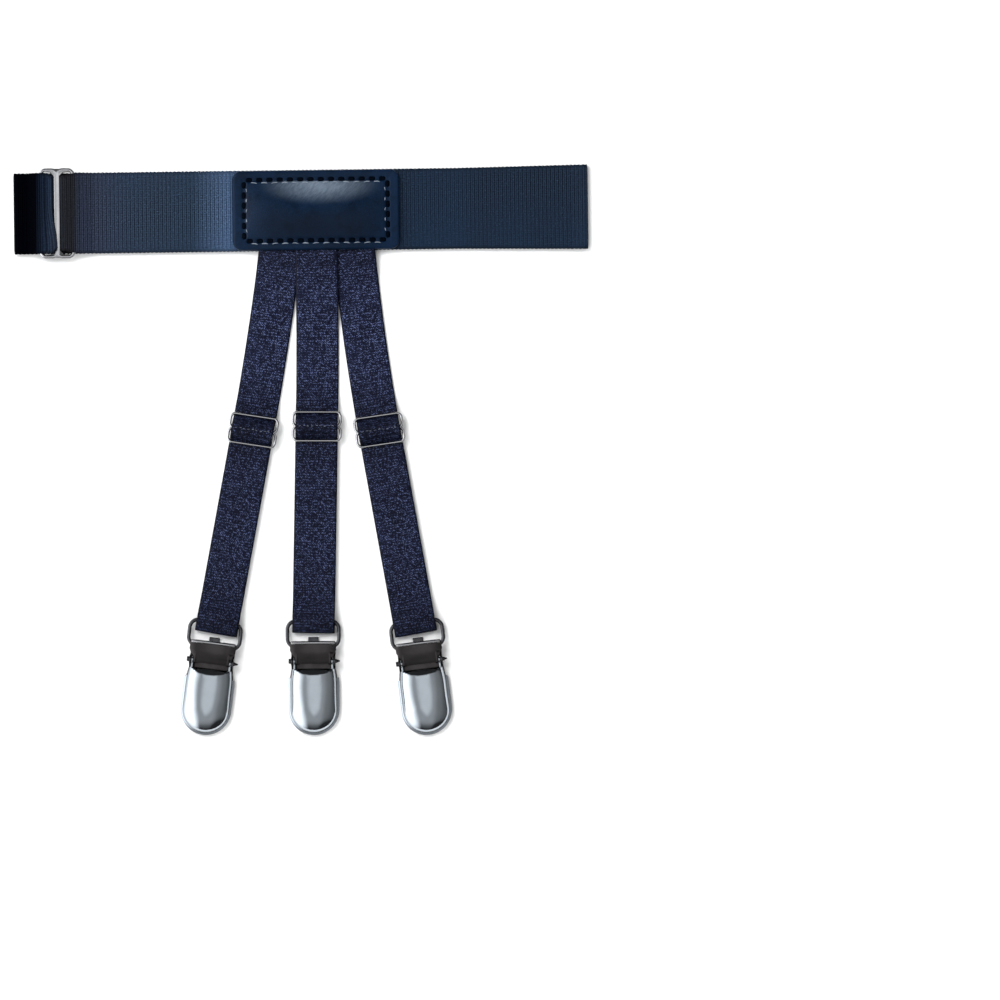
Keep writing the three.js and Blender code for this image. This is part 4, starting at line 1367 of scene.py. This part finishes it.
# The room's light as a sum of soft steps: the axis looked along, where a step starts and ends, and the
# strength before and after it
ROOM = (
    (2, 0.0, 1.0, 0.3, 0.5),
    (0, -0.35, -0.75, 0.0, 2.0),
    (0, 0.25, 0.6, 0.0, -0.2),
    (2, 0.95, 0.997, 0.0, 0.42),
    (1, 0.15, 0.6, 0.0, -0.6),
    (1, -0.4, -0.8, 0.0, -0.28),
)
ROOM_LEAST = 0.03
ROOM_TONE = (0.97, 0.985, 1)

# Where the picture is taken from, straight down, and how much it shows across
VIEW_FROM = Vector((0.0935, -0.0236, 2.2))
VIEW_ACROSS = 0.47


class STAY_OT_stage(bpy.types.Operator):
    """Sets a pale floor, soft lights and the camera straight above"""

    bl_idname = "stay.stage"
    bl_label = "Stage"

    def execute(self, context):
        scene = context.scene
        scene.view_settings.view_transform = "Standard"
        bpy.ops.object.select_all(action="DESELECT")
        bpy.ops.mesh.primitive_plane_add(size=6, location=(0, 0, -0.0002))
        floor = started("floor")
        floor.data.materials.append(floor_material())
        self.sky(scene)
        for name, place, size, power in LAMPS:
            data = bpy.data.lights.new(name, "AREA")
            data.size, data.energy = size, power
            lamp = bpy.data.objects.new(name, data)
            scene.collection.objects.link(lamp)
            lamp.location = place
            lamp.rotation_euler = (-Vector(place)).to_track_quat("-Z", "Y").to_euler()
            lamp.visible_camera = False
            lamp.visible_glossy = False
        view = bpy.data.cameras.new("view")
        view.sensor_width = 36
        view.lens = view.sensor_width * VIEW_FROM.z / VIEW_ACROSS
        view.clip_end = 20
        camera = bpy.data.objects.new("view", view)
        scene.collection.objects.link(camera)
        camera.location = VIEW_FROM
        scene.camera = camera
        return {"FINISHED"}

    def sky(self, scene):
        """A soft room: pale overhead and to the left, and darker towards the other walls."""
        world = bpy.data.worlds.new("room")
        scene.world = world
        world.use_nodes = True
        tree = world.node_tree
        seen = tree.nodes.new("ShaderNodeTexCoord")
        parts = tree.nodes.new("ShaderNodeSeparateXYZ")
        tree.links.new(seen.outputs["Generated"], parts.inputs[0])
        total = 0.0
        for axis, *step in ROOM:
            part = tree.nodes.new("ShaderNodeMapRange")
            part.interpolation_type = "SMOOTHSTEP"
            for name, value in zip(SPAN_ENDS, step):
                part.inputs[name].default_value = value
            tree.links.new(parts.outputs[axis], part.inputs["Value"])
            total = self.math(tree, "ADD", part.outputs[0], total)
        ground = tree.nodes["Background"].inputs
        tree.links.new(self.math(tree, "MAXIMUM", total, ROOM_LEAST), ground["Strength"])
        ground["Color"].default_value = (*ROOM_TONE, 1)

    def math(self, tree, operation, first, second):
        node = tree.nodes.new("ShaderNodeMath")
        node.operation = operation
        tree.links.new(first, node.inputs[0])
        if isinstance(second, bpy.types.NodeSocket):
            tree.links.new(second, node.inputs[1])
        else:
            node.inputs[1].default_value = second
        return node.outputs[0]


OPERATORS = (
    STAY_OT_band_slider,
    STAY_OT_thigh_band,
    STAY_OT_leather_patch,
    STAY_OT_straps,
    STAY_OT_strap_sliders,
    STAY_OT_wire_loops,
    STAY_OT_clips,
    STAY_OT_stage,
)


class STAY_PT_pieces(bpy.types.Panel):
    """Lists the stay's pieces, its sizes and its colours"""

    bl_label = "Shirt Stay"
    bl_idname = "STAY_PT_pieces"
    bl_space_type = "VIEW_3D"
    bl_region_type = "UI"
    bl_category = "Shirt Stay"

    def draw(self, context):
        for name in StaySettings.__annotations__:
            self.layout.prop(context.scene.stay_settings, name)
        for operator in OPERATORS:
            self.layout.operator(operator.bl_idname)


def register():
    for kind in (StaySettings, *OPERATORS, STAY_PT_pieces):
        bpy.utils.register_class(kind)
    bpy.types.Scene.stay_settings = bpy.props.PointerProperty(type=StaySettings)


def unregister():
    del bpy.types.Scene.stay_settings
    for kind in reversed((StaySettings, *OPERATORS, STAY_PT_pieces)):
        bpy.utils.unregister_class(kind)


def main():
    register()
    bpy.ops.stay.band_slider()
    bpy.ops.stay.thigh_band()
    bpy.ops.stay.leather_patch()
    bpy.ops.stay.straps()
    bpy.ops.stay.strap_sliders()
    bpy.ops.stay.wire_loops()
    bpy.ops.stay.clips()
    bpy.ops.stay.stage()


if __name__ == "__main__":
    main()
